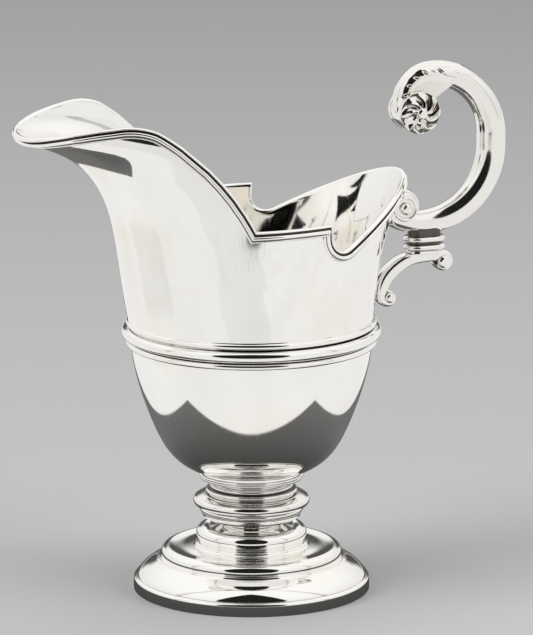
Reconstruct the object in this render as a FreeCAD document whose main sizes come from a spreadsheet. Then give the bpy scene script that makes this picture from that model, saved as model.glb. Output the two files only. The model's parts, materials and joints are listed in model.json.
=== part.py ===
"""Helmet-shaped silver cream jug on a stepped round foot, with a flying scroll handle.

Millimetres, +Z up.  The origin is the centre of the foot's underside.  The spout points along -X, the
handle stands on +X, and the jug is the same on both sides of the XZ plane.
"""
import FreeCAD, Part
import math
import os

import Sketcher

Vector = FreeCAD.Vector
document = FreeCAD.newDocument("cream_jug")

# ---------------------------------------------------------------- driving dimensions
DIMENSIONS = {
    # foot wire: the upright band that the jug stands on
    "foot_radius": 28.0,
    "foot_flare": 0.7,
    "foot_wire_height": 3.2,
    "foot_wire_thickness": 2.2,
    # foot dome: raised sheet with a slope, a step, a round hump, a dished shelf and an upper hump
    "dome_sheet": 1.0,
    "slope_run": 4.7,
    "slope_rise": 4.0,
    "step_rise": 0.7,
    "hump_set_in": 1.2,
    "hump_run": 2.6,
    "hump_rise": 2.5,
    "shelf_dip": 0.3,
    "riser_radius": 12.7,
    "riser_rise": 1.5,
    "crown_run": 2.3,
    "crown_rise": 3.8,
    # stem: one turning with a disc, a bold knop, a small torus and a neck ring
    "neck_radius": 6.6,
    "neck_height": 2.7,
    "disc_radius": 12.1,
    "disc_height": 2.2,
    "knop_radius": 13.2,
    "knop_height": 2.7,
    "torus_radius": 10.6,
    "torus_height": 1.3,
    "stem_ring_radius": 9.5,
    "stem_ring_height": 1.4,
    "stem_gap": 0.6,
    "stem_gap_radius": 8.6,
    # collar between the stem and the bowl
    "collar_radius": 12.3,
    "collar_cove": 0.9,
    "collar_fillet": 0.9,
    "collar_rim": 0.5,
    "collar_seat": 0.9,
    # bowl
    "wall": 1.1,
    "waist_radius": 28.6,
    "bowl_height": 35.4,
    "bowl_bottom_radius": 12.6,
    "bowl_bottom_rise": 2.4,
    "bowl_flank_radius": 22.1,
    "bowl_flank_rise": 10.9,
    # girdle moulding: three reeds over the joint of bowl and upper body
    "small_reed_height": 1.6,
    "small_reed_base": 0.5,
    "large_reed_height": 3.1,
    "large_reed_base": 1.0,
    # flared upper body: section sizes at six levels above the waist
    "belly_rise": 9.0,
    "belly_front": 30.6,
    "belly_back": 29.2,
    "belly_half_width": 28.6,
    "chest_rise": 22.0,
    "chest_front": 32.2,
    "chest_back": 31.4,
    "chest_half_width": 28.1,
    "neck_rise": 34.0,
    "neck_front": 35.2,
    "neck_back": 37.4,
    "neck_half_width": 27.2,
    "throat_rise": 43.0,
    "throat_front": 42.2,
    "throat_back": 41.0,
    "throat_half_width": 25.3,
    "throat_shift": 7.0,
    "trough_rise": 47.6,
    "trough_front": 51.5,
    "lip_rise": 50.9,
    "lip_front": 61.9,
    "brow_rise": 58.0,
    "brow_front": 60.8,
    "brow_half_width": 21.5,
    "brow_shift": 10.5,
    # rim line in side view: reach from the axis and rise above the waist
    "lip_end_rise": 48.7,
    "lip_end_reach": 62.0,
    "lip_top_reach": 39.5,
    "lip_top_rise": 54.1,
    "lip_turn_reach": 30.5,
    "lip_turn_rise": 52.9,
    "shoulder_reach": 8.9,
    "shoulder_rise": 29.1,
    "step_reach": 9.8,
    "step_top_rise": 29.4,
    "notch_side_rise": 26.0,
    "notch_reach": 15.3,
    "notch_rise": 23.3,
    "peak_reach": 38.0,
    "peak_rise": 35.8,
    # rim moulding
    "rim_height": 2.2,
    "rim_proud": 0.95,
    # scroll handle: a lower arc, a short upright, an upper arc, a curl over it and a volute below
    "scroll_rise": 40.3,
    "scroll_lower_radius": 17.5,
    "scroll_upright": 2.6,
    "scroll_upper_radius": 15.4,
    "curl_radius": 6.4,
    "scroll_tail": 2.5,
    "scroll_thickness": 3.5,
    "scroll_tip": 2.8,
    "scroll_half_width": 3.3,
    "volute_radius": 4.6,
    "volute_sink": 1.4,
    "volute_turn": 3.0,
    "volute_half_width": 2.9,
    "drum_radius": 4.9,
    "drum_set_out": 3.5,
    "drum_set_down": 2.0,
    "drum_half_width": 3.7,
    "leaf_thickness": 0.6,
    # rosettes on the curl and bosses on the volute
    "rosette_radius": 5.1,
    "rosette_rim": 0.5,
    "rosette_height": 1.4,
    "bud_radius": 1.3,
    "bud_height": 0.7,
    "boss_ring_radius": 3.1,
    "boss_ring_height": 0.8,
    "boss_radius": 1.6,
    "boss_height": 1.5,
    "crown_flat": 0.35,
    # reel under the scroll, and the bracket scroll that carries it
    "reel_set_out": 0.5,
    "reel_half_length": 5.0,
    "reel_half_width": 3.2,
    "reel_waist": 1.0,
    "reel_ring": 1.2,
    "reel_ring_lift": 0.3,
    "reel_ring_gap": 0.8,
    "bracket_rise": 12.75,
    "bracket_thickness": 3.0,
    "bracket_half_width": 2.2,
    "bracket_overhang": 4.3,
    "bracket_outer_radius": 2.9,
    "bracket_stand_off": 4.65,
    "bracket_foot_rise": 4.0,
    "bracket_drop": 10.6,
    "bracket_lower_radius": 1.9,
    "pellet_radius": 1.2,
    "pellet_height": 0.6,
    # shaped plate on the back of the body, under the handle
    "plate_thickness": 0.7,
    "plate_half_width": 6.0,
    "plate_height": 21.5,
    "plate_clearance": 0.7,
}

sheet = document.addObject("Spreadsheet::Sheet", "Sizes")
for row, (alias, length) in enumerate(DIMENSIONS.items(), start=1):
    sheet.set(f"A{row}", alias)
    sheet.set(f"B{row}", str(length))
    sheet.setAlias(f"B{row}", alias)
document.recompute()


class Size:
    """A length with the sheet expression that gives it, so that sums of sizes stay bound."""

    def __init__(self, text, value):
        self.text = text
        self.value = value

    def joined(self, sign, other, turned=False):
        other = other if isinstance(other, Size) else Size(repr(float(other)), float(other))
        first, second = (other, self) if turned else (self, other)
        value = {
            "+": first.value + second.value,
            "-": first.value - second.value,
            "*": first.value * second.value,
            "/": first.value / second.value if second.value else 0.0,
        }[sign]
        return Size(f"({first.text} {sign} {second.text})", value)

    def __add__(self, other):
        return self.joined("+", other)

    def __radd__(self, other):
        return self.joined("+", other, turned=True)

    def __sub__(self, other):
        return self.joined("-", other)

    def __rsub__(self, other):
        return self.joined("-", other, turned=True)

    def __mul__(self, other):
        return self.joined("*", other)

    def __rmul__(self, other):
        return self.joined("*", other, turned=True)

    def __truediv__(self, other):
        return self.joined("/", other)

    def __neg__(self):
        return 0.0 - self


class SheetSizes:
    """Reads a size from the sheet by its alias: sizes.wall."""

    def __getattr__(self, alias):
        return Size(f"Sizes.{alias}", float(sheet.get(alias)))


sizes = SheetSizes()
ZERO = Size("0", 0.0)

# levels from the floor up, each one standing on the piece below it
foot_top = sizes.foot_wire_height
slope_top = foot_top + sizes.slope_rise
hump_foot = slope_top + sizes.step_rise
hump_top = hump_foot + sizes.hump_rise
riser_foot = hump_top - sizes.shelf_dip
crown_foot = riser_foot + sizes.riser_rise
dome_top = crown_foot + sizes.crown_rise
disc_foot = dome_top + sizes.neck_height
knop_foot = disc_foot + sizes.disc_height
torus_foot = knop_foot + sizes.knop_height
stem_ring_foot = torus_foot + sizes.torus_height
stem_ring_top = stem_ring_foot + sizes.stem_ring_height
collar_foot = stem_ring_top + sizes.stem_gap
bowl_foot = collar_foot + sizes.collar_seat
waist = bowl_foot + sizes.bowl_height
girdle_foot = waist - sizes.small_reed_height - sizes.large_reed_height / 2
girdle_top = waist + sizes.small_reed_height + sizes.large_reed_height / 2
scroll_level = waist + sizes.scroll_rise

pieces = []


# ---------------------------------------------------------------- helpers
def keep(feature, name):
    """Enter a finished sub-part under its own name."""
    feature.Label = name
    pieces.append(feature)
    return feature


def number(size):
    return size.value if isinstance(size, Size) else float(size)


def arc_between(start, end, bow):
    """Counter-clockwise arc on a chord; a positive bow swells to the right of the travel."""
    chord = end - start
    half = chord.Length / 2
    radius = half * (1 + bow * bow) / (2 * abs(bow))
    right = Vector(chord.y, -chord.x, 0).normalize()
    centre = (start + end) * 0.5 - right * math.copysign(radius - abs(bow) * half, bow)
    first, last = (start, end) if bow > 0 else (end, start)
    angle_from = math.atan2(first.y - centre.y, first.x - centre.x)
    angle_to = math.atan2(last.y - centre.y, last.x - centre.x)
    if angle_to <= angle_from:
        angle_to += 2 * math.pi
    return Part.ArcOfCircle(Part.Circle(centre, Vector(0, 0, 1), radius), angle_from, angle_to)


def draw(sketch, corners):
    """Close an outline of (across, up, bow) corners; the bow is that of the edge leaving the corner.

    Every corner is held by its two distances from the sketch's origin and every arc by its centre too,
    and all of them are bound to the sheet.
    """
    ends = []
    for index, (across, up, bow) in enumerate(corners):
        following = corners[(index + 1) % len(corners)]
        start = Vector(number(across), number(up), 0)
        end = Vector(number(following[0]), number(following[1]), 0)
        if bow:
            edge = sketch.addGeometry(arc_between(start, end, bow))
            ends.append((edge, 1, 2) if bow > 0 else (edge, 2, 1))
        else:
            edge = sketch.addGeometry(Part.LineSegment(start, end))
            ends.append((edge, 1, 2))
    for index, (across, up, bow) in enumerate(corners):
        edge, begin, _ = ends[index]
        before, _, finish = ends[index - 1]
        sketch.addConstraint(Sketcher.Constraint("Coincident", before, finish, edge, begin))
        for kind, axis, place in (("DistanceX", -2, across), ("DistanceY", -1, up)):
            if abs(number(place)) < 1e-9:
                sketch.addConstraint(Sketcher.Constraint("PointOnObject", edge, begin, axis))
                continue
            held = sketch.addConstraint(Sketcher.Constraint(kind, edge, begin, number(place)))
            if isinstance(place, Size):
                sketch.setExpression(f"Constraints[{held}]", place.text)
        if bow:
            following = corners[(index + 1) % len(corners)]
            run = following[0] - (across + ZERO)
            rise = following[1] - (up + ZERO)
            lean = (1 - bow * bow) / (4 * bow)
            if abs(run.value) >= abs(rise.value):
                kind, centre = "DistanceY", (following[1] + (up + ZERO)) / 2 + run * lean
            else:
                kind, centre = "DistanceX", (following[0] + (across + ZERO)) / 2 - rise * lean
            held = sketch.addConstraint(Sketcher.Constraint(kind, edge, 3, centre.value))
            sketch.setExpression(f"Constraints[{held}]", centre.text)


def new_sketch(body, name, role, corners, level=0.0):
    """A sketch on one of the body's origin planes, lifted along its normal by level."""
    sketch = body.newObject("Sketcher::SketchObject", name)
    plane = next(item for item in body.Origin.OriginFeatures if item.Role == role)
    sketch.AttachmentSupport = [(plane, "")]
    sketch.MapMode = "FlatFace"
    if isinstance(level, Size):
        sketch.setExpression("AttachmentOffset.Base.z", level.text)
    draw(sketch, corners)
    return sketch


def turned(name, corners):
    """A body turned about its upright axis from (radius, height, bow) corners."""
    body = document.addObject("PartDesign::Body", name)
    sketch = new_sketch(body, name + "_outline", "XZ_Plane", corners)
    turning = body.newObject("PartDesign::Revolution", name + "_turning")
    turning.Profile = sketch
    turning.ReferenceAxis = (sketch, ["V_Axis"])
    turning.Angle = 360
    body.Tip = turning
    return body


def padded(body, name, role, corners, thickness, level=0.0, midplane=False):
    """Add a pad of a closed outline to a body."""
    sketch = new_sketch(body, name + "_outline", role, corners, level)
    pad = body.newObject("PartDesign::Pad", name)
    pad.Profile = sketch
    pad.Midplane = midplane
    pad.setExpression("Length", thickness.text)
    body.Tip = pad
    return pad


def place(feature, **where):
    """Bind a sub-part's position to the sheet: place(body, x=..., z=...)."""
    for axis, size in where.items():
        feature.setExpression(f"Placement.Base.{axis}", size.text)


def cut_from(name, blank, *neighbours):
    """What is left of a blank when its neighbours are taken out of it."""
    tools = neighbours[0]
    if len(neighbours) > 1:
        tools = document.addObject("Part::MultiFuse", name + "_neighbours")
        tools.Shapes = list(neighbours)
    cut = document.addObject("Part::Cut", name)
    cut.Base = blank
    cut.Tool = tools
    return cut


def shaped(name, shape):
    feature = document.addObject("Part::Feature", name)
    feature.Shape = shape
    return feature


# ---------------------------------------------------------------- foot
ledge_radius = sizes.foot_radius - sizes.foot_flare
wire_inner = sizes.foot_radius - sizes.foot_wire_thickness
keep(turned("foot_wire", [
    (wire_inner, 0.0, 0),
    (sizes.foot_radius, 0.0, 0),
    (ledge_radius, foot_top, 0),
    (wire_inner, foot_top, 0),
]), "foot_wire")

slope_radius = ledge_radius - sizes.slope_run
hump_radius = slope_radius - sizes.hump_set_in
hump_crest = hump_radius - sizes.hump_run
crown_radius = sizes.riser_radius - sizes.crown_run
sheet_thickness = sizes.dome_sheet
SLOPE_BOW, HUMP_BOW, SHELF_BOW, CROWN_BOW = 0.16, 0.62, -0.1, 0.78
keep(turned("foot_dome", [
    (ledge_radius - sheet_thickness, foot_top, 0),
    (ledge_radius, foot_top, 0),
    (ledge_radius - 0.4, foot_top + 0.7, SLOPE_BOW),
    (slope_radius, slope_top, 0),
    (slope_radius - 0.3, hump_foot, 0),
    (hump_radius, hump_foot, HUMP_BOW),
    (hump_crest, hump_top, SHELF_BOW),
    (sizes.riser_radius, riser_foot, 0),
    (sizes.riser_radius - 0.3, crown_foot, CROWN_BOW),
    (crown_radius, dome_top, 0),
    (0.0, dome_top, 0),
    (0.0, dome_top - sheet_thickness, 0),
    (crown_radius, dome_top - sheet_thickness, 0),
    (sizes.riser_radius - 0.3 - sheet_thickness, crown_foot, 0),
    (sizes.riser_radius - sheet_thickness, riser_foot - sheet_thickness, 0),
    (hump_crest, hump_top - sheet_thickness, 0),
    (hump_radius - sheet_thickness, hump_foot - sheet_thickness, 0),
    (slope_radius - sheet_thickness, slope_top - sheet_thickness, 0),
]), "foot_dome")

# ---------------------------------------------------------------- stem and collar
KNOP_BOW = 0.9
keep(turned("stem_knop", [
    (0.0, dome_top, 0),
    (sizes.neck_radius, dome_top, -0.2),
    (sizes.neck_radius, disc_foot, 0),
    (sizes.disc_radius - 0.5, disc_foot, 0.4),
    (sizes.disc_radius, knop_foot, 0),
    (sizes.knop_radius, knop_foot, KNOP_BOW),
    (sizes.knop_radius, torus_foot, 0),
    (sizes.torus_radius, torus_foot, KNOP_BOW),
    (sizes.torus_radius, stem_ring_foot, 0),
    (sizes.stem_ring_radius, stem_ring_foot, KNOP_BOW),
    (sizes.stem_ring_radius, stem_ring_top, 0),
    (sizes.stem_gap_radius, stem_ring_top, 0),
    (sizes.stem_gap_radius, collar_foot, 0),
    (0.0, collar_foot, 0),
]), "stem_knop")

# the collar's top follows the bowl's rounded underside
BOTTOM_BOW, FLANK_BOW, SIDE_BOW = 0.09, 0.13, 0.09
bottom_edge = bowl_foot + sizes.bowl_bottom_rise
fillet_foot = collar_foot + sizes.collar_cove
fillet_top = fillet_foot + sizes.collar_fillet
rim_foot = bottom_edge - sizes.collar_rim
keep(turned("bowl_collar", [
    (0.0, collar_foot, 0),
    (sizes.collar_radius - 2.6, collar_foot, -0.3),
    (sizes.collar_radius - 0.3, fillet_foot, 0.6),
    (sizes.collar_radius - 0.3, fillet_top, 0),
    (sizes.collar_radius - 0.8, fillet_top, 0.3),
    (sizes.collar_radius - 0.7, rim_foot, 0),
    (sizes.collar_radius + 0.2, rim_foot, 0),
    (sizes.bowl_bottom_radius, bottom_edge, -BOTTOM_BOW),
    (0.0, bowl_foot, 0),
]), "bowl_collar")

# ---------------------------------------------------------------- bowl and girdle
inner_flank = sizes.bowl_flank_radius - 0.87 * sizes.wall
keep(turned("bowl", [
    (0.0, bowl_foot, BOTTOM_BOW),
    (sizes.bowl_bottom_radius, bottom_edge, FLANK_BOW),
    (sizes.bowl_flank_radius, bowl_foot + sizes.bowl_flank_rise, SIDE_BOW),
    (sizes.waist_radius, girdle_foot, 0),
    (sizes.waist_radius, waist, 0),
    (sizes.waist_radius - sizes.wall, waist, 0),
    (sizes.waist_radius - sizes.wall, girdle_foot, -SIDE_BOW),
    (inner_flank, bowl_foot + sizes.bowl_flank_rise + 0.5 * sizes.wall, -FLANK_BOW),
    (sizes.bowl_bottom_radius - 0.35 * sizes.wall, bottom_edge + 0.94 * sizes.wall, -BOTTOM_BOW),
    (0.0, bowl_foot + sizes.wall, 0),
]), "bowl")

lower_reed_top = girdle_foot + sizes.small_reed_height
upper_reed_foot = girdle_top - sizes.small_reed_height
small_reed = sizes.waist_radius + sizes.small_reed_base
large_reed = sizes.waist_radius + sizes.large_reed_base
REED_BOW = 0.75
keep(turned("girdle_moulding", [
    (sizes.waist_radius, girdle_foot, 0),
    (small_reed, girdle_foot, REED_BOW),
    (small_reed, lower_reed_top, 0),
    (large_reed, lower_reed_top, REED_BOW),
    (large_reed, upper_reed_foot, 0),
    (small_reed, upper_reed_foot, REED_BOW),
    (small_reed, girdle_top, 0),
    (sizes.waist_radius, girdle_top, 0),
]), "girdle_moulding")


# ---------------------------------------------------------------- flared upper body
def profile(*poles):
    """Smooth curve of (reach, rise) poles, as a spline in a plane of its own."""
    curve = Part.BSplineCurve()
    points = [Vector(number(reach), number(rise), 0) for reach, rise in poles]
    knots = list(range(len(points) - 2))
    curve.buildFromPolesMultsKnots(
        points, [4] + [1] * (len(knots) - 2) + [4], knots, False, 3)
    return curve


def reach_at(curve, rise, offset=0.0):
    """Reach of a profile at a level, with the profile moved out square to itself by offset."""
    low, high = curve.FirstParameter, curve.LastParameter
    for _ in range(60):
        middle = (low + high) / 2
        along = curve.tangent(middle)[0]
        point = curve.value(middle) + Vector(along.y, -along.x, 0) * offset
        if point.y < rise:
            low = middle
        else:
            high = middle
    return point.x


front_profile = profile(
    (sizes.waist_radius, 0.0),
    (sizes.belly_front, sizes.belly_rise),
    (sizes.chest_front, sizes.chest_rise),
    (sizes.neck_front, sizes.neck_rise),
    (sizes.throat_front, sizes.throat_rise),
    (sizes.trough_front, sizes.trough_rise),
    (sizes.lip_front, sizes.lip_rise),
    (sizes.brow_front, sizes.brow_rise),
)
back_profile = profile(
    (sizes.waist_radius, 0.0),
    (sizes.belly_back, sizes.belly_rise),
    (sizes.chest_back, sizes.chest_rise),
    (sizes.neck_back, sizes.neck_rise),
    (sizes.throat_back, sizes.throat_rise),
    (sizes.throat_back, sizes.brow_rise),
)
side_profile = profile(
    (sizes.waist_radius, 0.0),
    (sizes.belly_half_width, sizes.belly_rise),
    (sizes.chest_half_width, sizes.chest_rise),
    (sizes.neck_half_width, sizes.neck_rise),
    (sizes.throat_half_width, sizes.throat_rise),
    (sizes.brow_half_width, sizes.brow_rise),
)
shift_profile = profile(
    (0.0, 0.0),
    (0.0, sizes.belly_rise),
    (0.0, sizes.chest_rise),
    (0.0, sizes.neck_rise),
    (sizes.throat_shift, sizes.throat_rise),
    (sizes.brow_shift, sizes.brow_rise),
)
RING_POINTS = 28
LEVELS = 17
OVERRUN = 2.0


def ring_through(points):
    """Closed smooth wire through points."""
    curve = Part.BSplineCurve()
    curve.interpolate(points, PeriodicFlag=True)
    return Part.Wire(curve.toShape())


def body_ring(rise, offset):
    """Level section: a front and a back half-ellipse that share their width."""
    shift = -reach_at(shift_profile, rise)
    front = reach_at(front_profile, rise, offset) + shift
    back = reach_at(back_profile, rise, offset) - shift
    half_width = reach_at(side_profile, rise, offset)
    points = []
    for step in range(RING_POINTS):
        angle = 2 * math.pi * step / RING_POINTS
        length = back if math.cos(angle) > 0 else front
        points.append(Vector(
            shift + length * math.cos(angle), half_width * math.sin(angle), waist.value + rise))
    return ring_through(points)


def flared_solid(offset=0.0, overrun=0.0):
    """The body as a full solid to above its rim, its skin moved out by offset."""
    first, last = front_profile.FirstParameter, front_profile.LastParameter
    rises = [front_profile.value(first + (last - first) * step / (LEVELS - 1)).y
             for step in range(LEVELS)]
    if overrun:
        rises = [-overrun] + rises + [rises[-1] + overrun]
    return Part.makeLoft([body_ring(rise, offset) for rise in rises], True, False)


# what lies under the rim line, as a slab that runs right across the jug
slab_width = 4 * sizes.waist_radius
rim_slab = document.addObject("PartDesign::Body", "rim_slab")
slab_side = sizes.peak_reach + 20.0
slab_foot = waist - 10.0
padded(rim_slab, "rim_slab_pad", "XZ_Plane", [
    (-sizes.lip_end_reach, slab_foot, 0),
    (slab_side, slab_foot, 0),
    (slab_side, waist + sizes.peak_rise + 11.0, 0),
    (sizes.peak_reach, waist + sizes.peak_rise, 0),
    (sizes.notch_reach, waist + sizes.notch_rise, -0.56),
    (sizes.step_reach, waist + sizes.notch_side_rise, 0),
    (sizes.step_reach, waist + sizes.step_top_rise, 0),
    (-sizes.shoulder_reach, waist + sizes.shoulder_rise, 0.145),
    (-sizes.lip_turn_reach, waist + sizes.lip_turn_rise, 0.14),
    (-sizes.lip_top_reach, waist + sizes.lip_top_rise, 0.07),
    (-sizes.lip_end_reach, waist + sizes.lip_end_rise, 0),
], slab_width, midplane=True)
document.recompute()

outer_solid = flared_solid()
inner_solid = flared_solid(-sizes.wall.value, OVERRUN)
slab = rim_slab.Shape.copy()
upper_body = keep(shaped("upper_body", outer_solid.cut(inner_solid).common(slab)), "upper_body")

# ---------------------------------------------------------------- rim moulding
side_face = max(slab.Faces, key=lambda face: face.CenterOfMass.y)
lowered_face = Part.Face(side_face.OuterWire).makeOffset2D(-sizes.rim_height.value, 2)
lowered_slab = lowered_face.extrude(Vector(0, -number(slab_width), 0))
rim_layer = flared_solid(sizes.rim_proud.value, OVERRUN).cut(outer_solid)
rim_band = rim_layer.common(slab.cut(lowered_slab))


def forward_of(reach, rise):
    """Everything on the spout's side of the mitre through a corner of the rim line."""
    corner = Vector(reach, 0, number(waist) + rise)
    corners = [Vector(vertex.X, 0, vertex.Z) for vertex in lowered_face.Vertexes]
    inner = min(corners, key=lambda point: point.distanceToPoint(corner))
    along = (corner - inner).normalize() * 80
    ahead = Vector(-160, 0, 0)
    face = Part.Face(Part.makePolygon([
        corner - along, corner + along, corner + along + ahead, corner - along + ahead,
        corner - along]))
    face.translate(Vector(0, -number(slab_width) / 2, 0))
    return face.extrude(Vector(0, number(slab_width), 0))


lip_side = forward_of(-sizes.shoulder_reach.value, sizes.shoulder_rise.value)
step_side = forward_of(sizes.step_reach.value, sizes.step_top_rise.value)
behind_lip = rim_band.cut(lip_side)
shoulders = behind_lip.common(step_side)
keep(shaped("rim_lip", rim_band.common(lip_side)), "rim_lip")
for side, sign in (("left", -1), ("right", 1)):
    strips = [strip for strip in shoulders.Solids if strip.CenterOfMass.y * sign > 0]
    keep(shaped(f"rim_shoulder_{side}", Part.makeCompound(strips)), f"rim_shoulder_{side}")
keep(shaped("rim_back", behind_lip.cut(step_side)), "rim_back")

# ---------------------------------------------------------------- plate behind the handle
plate_region = document.addObject("PartDesign::Body", "plate_region")
plate_foot = girdle_top + sizes.plate_clearance
half = sizes.plate_half_width
LOBE_BOW = 0.3
plate_edge = [
    (0.0, 0.0), (0.55, 0.12), (1.0, 0.36), (0.92, 0.62), (0.62, 0.86),
    (0.0, 1.0), (-0.62, 0.86), (-0.92, 0.62), (-1.0, 0.36), (-0.55, 0.12),
]
padded(plate_region, "plate_region_pad", "YZ_Plane", [
    (half * across, plate_foot + sizes.plate_height * up, LOBE_BOW) for across, up in plate_edge
], sizes.peak_reach * 2)
document.recompute()
plated_solid = flared_solid(sizes.plate_thickness.value, OVERRUN)
plate_shape = plated_solid.cut(outer_solid).common(plate_region.Shape.copy())
handle_plate = keep(shaped("handle_plate", plate_shape), "handle_plate")

# ---------------------------------------------------------------- scroll handle
VOLUTE_ANGLE, CURL_ANGLE, CURL_END, LEAF_START = -112, 95, 196, 28
SECTION_POINTS = 16


def turned_from(reach, level, radius, angle):
    """The point at a radius and an angle about a centre, in reach and level."""
    turn = math.radians(angle)
    return reach + radius * math.cos(turn), level + radius * math.sin(turn)


def back_at(level):
    """Reach of the plate's outer face at a level, as a plain number for the handle to sit on."""
    rise = number(level) - number(waist)
    reach = round(reach_at(back_profile, rise, number(sizes.plate_thickness)), 4)
    return Size(repr(reach), reach)


# the volute rests in the plate, and the rest of the scroll follows from it
volute_out, volute_level = turned_from(
    ZERO, scroll_level, sizes.scroll_lower_radius - sizes.volute_turn, VOLUTE_ANGLE)
volute_reach = back_at(volute_level) + sizes.volute_radius - sizes.volute_sink
scroll_reach = volute_reach - volute_out
upper_reach = scroll_reach + sizes.scroll_lower_radius - sizes.scroll_upper_radius
upper_level = scroll_level + sizes.scroll_upright
curl_reach, curl_level = turned_from(
    upper_reach, upper_level, sizes.scroll_upper_radius - sizes.curl_radius, CURL_ANGLE)
drum_reach = curl_reach - sizes.drum_set_out
drum_level = curl_level - sizes.drum_set_down
SCROLL_ARCS = [
    (scroll_reach, scroll_level, sizes.scroll_lower_radius, VOLUTE_ANGLE, 0, 8),
    (upper_reach, upper_level, sizes.scroll_upper_radius, 0, CURL_ANGLE, 6),
    (curl_reach, curl_level, sizes.curl_radius, CURL_ANGLE, CURL_END, 6),
]


def outward(angle):
    return Vector(math.cos(math.radians(angle)), 0, math.sin(math.radians(angle)))


def half_thickness_at(angle):
    """The scroll swells from its tail to the middle of its back and thins again to the curl."""
    if angle < 0:
        share = math.sin(math.pi / 2 * (1 - angle / VOLUTE_ANGLE))
        return number(sizes.scroll_tail + (sizes.scroll_thickness - sizes.scroll_tail) * share)
    share = min(angle / CURL_ANGLE, 1.0)
    return number(sizes.scroll_thickness + (sizes.scroll_tip - sizes.scroll_thickness) * share)


def scroll_stations():
    """(centre point, outward direction, half thickness, angle) along the scroll to its tip."""
    for reach, level, radius, start, end, count in SCROLL_ARCS:
        for step in range(1 if start > 0 else 0, count + 1):
            angle = start + (end - start) * step / count
            centre = Vector(number(reach), 0, number(level))
            yield (centre + outward(angle) * number(radius), outward(angle),
                   half_thickness_at(angle), angle)


def oval_point(point, direction, thickness, width, turn):
    return point + direction * (thickness * math.cos(turn)) + Vector(0, width * math.sin(turn), 0)


def oval(point, direction, thickness, width):
    return ring_through([
        oval_point(point, direction, thickness, width, 2 * math.pi * step / SECTION_POINTS)
        for step in range(SECTION_POINTS)])


def outer_half_oval(point, direction, thickness, width):
    """The half of an oval that faces outwards, closed by a straight line."""
    points = [
        oval_point(point, direction, thickness, width, math.pi * (step / SECTION_POINTS - 0.5))
        for step in range(SECTION_POINTS + 1)]
    curve = Part.BSplineCurve()
    curve.interpolate(points)
    return Part.Wire([curve.toShape(), Part.makeLine(points[-1], points[0])])


def disc_across(reach, level, radius, half_width):
    start = Vector(number(reach), -number(half_width), number(level))
    return Part.makeCylinder(number(radius), 2 * number(half_width), start, Vector(0, 1, 0))


width_share = number(sizes.scroll_half_width / sizes.scroll_thickness)
tube = Part.makeLoft([
    oval(point, direction, thickness, thickness * width_share)
    for point, direction, thickness, _ in scroll_stations()], True, False)
volute = disc_across(volute_reach, volute_level, sizes.volute_radius, sizes.volute_half_width)
drum = disc_across(drum_reach, drum_level, sizes.drum_radius, sizes.drum_half_width)
handle_scroll = keep(
    shaped("handle_scroll", tube.fuse([volute, drum]).cut(plated_solid)), "handle_scroll")

leaf = number(sizes.leaf_thickness)
leaf_blank = Part.makeLoft([
    outer_half_oval(point, direction, thickness + leaf, thickness * width_share + leaf / 2)
    for point, direction, thickness, angle in scroll_stations() if angle >= LEAF_START], True, False)
keep(shaped("handle_leaf", leaf_blank.cut(handle_scroll.Shape)), "handle_leaf")

# ---------------------------------------------------------------- rosettes and bosses
rosette_outline = [
    (0.0, 0.0, 0),
    (sizes.rosette_radius, 0.0, 0),
    (sizes.rosette_radius, sizes.rosette_rim, 0.4),
    (sizes.bud_radius + 0.5, sizes.rosette_height, 0),
    (sizes.bud_radius, sizes.rosette_height - 0.4, 0.4),
    (sizes.crown_flat, sizes.rosette_height + sizes.bud_height, 0),
    (0.0, sizes.rosette_height + sizes.bud_height, 0),
]
boss_outline = [
    (0.0, 0.0, 0),
    (sizes.boss_ring_radius, 0.0, 0.5),
    (sizes.boss_ring_radius - 0.6, sizes.boss_ring_height, 0),
    (sizes.boss_radius + 0.3, sizes.boss_ring_height - 0.4, 0),
    (sizes.boss_radius, sizes.boss_ring_height - 0.4, 0.35),
    (sizes.crown_flat, sizes.boss_height, 0),
    (0.0, sizes.boss_height, 0),
]
for side, sign in (("left", -1), ("right", 1)):
    rosette = turned(f"rosette_{side}", rosette_outline)
    boss = turned(f"volute_boss_{side}", boss_outline)
    for feature, reach, level, face in (
            (rosette, drum_reach, drum_level, sizes.drum_half_width),
            (boss, volute_reach, volute_level, sizes.volute_half_width)):
        feature.Placement = FreeCAD.Placement(
            Vector(), FreeCAD.Rotation(Vector(1, 0, 0), -90 * sign))
        place(feature, x=reach, y=face * sign, z=level)
        keep(feature, feature.Name)

# ---------------------------------------------------------------- reel and bracket
bracket_top = girdle_top + sizes.bracket_rise
bracket_under = bracket_top - sizes.bracket_thickness
reel_top = scroll_level - sizes.scroll_lower_radius
lower_level = bracket_top - sizes.bracket_drop
lower_reach = back_at(lower_level) + sizes.bracket_stand_off
strap_root = lower_reach - sizes.bracket_stand_off - sizes.wall
reel_reach = scroll_reach + sizes.reel_set_out
outer_reach = reel_reach + sizes.bracket_overhang
outer_level = bracket_top - sizes.bracket_outer_radius


def stadium(half_length, half_width):
    left = reel_reach - half_length + half_width
    right = reel_reach + half_length - half_width
    return [
        (left, -half_width, 0),
        (right, -half_width, 1),
        (right, half_width, 0),
        (left, half_width, 1),
    ]


def disc_outline(reach, level, radius):
    return [(reach - radius, level, 1), (reach + radius, level, 1)]


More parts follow.
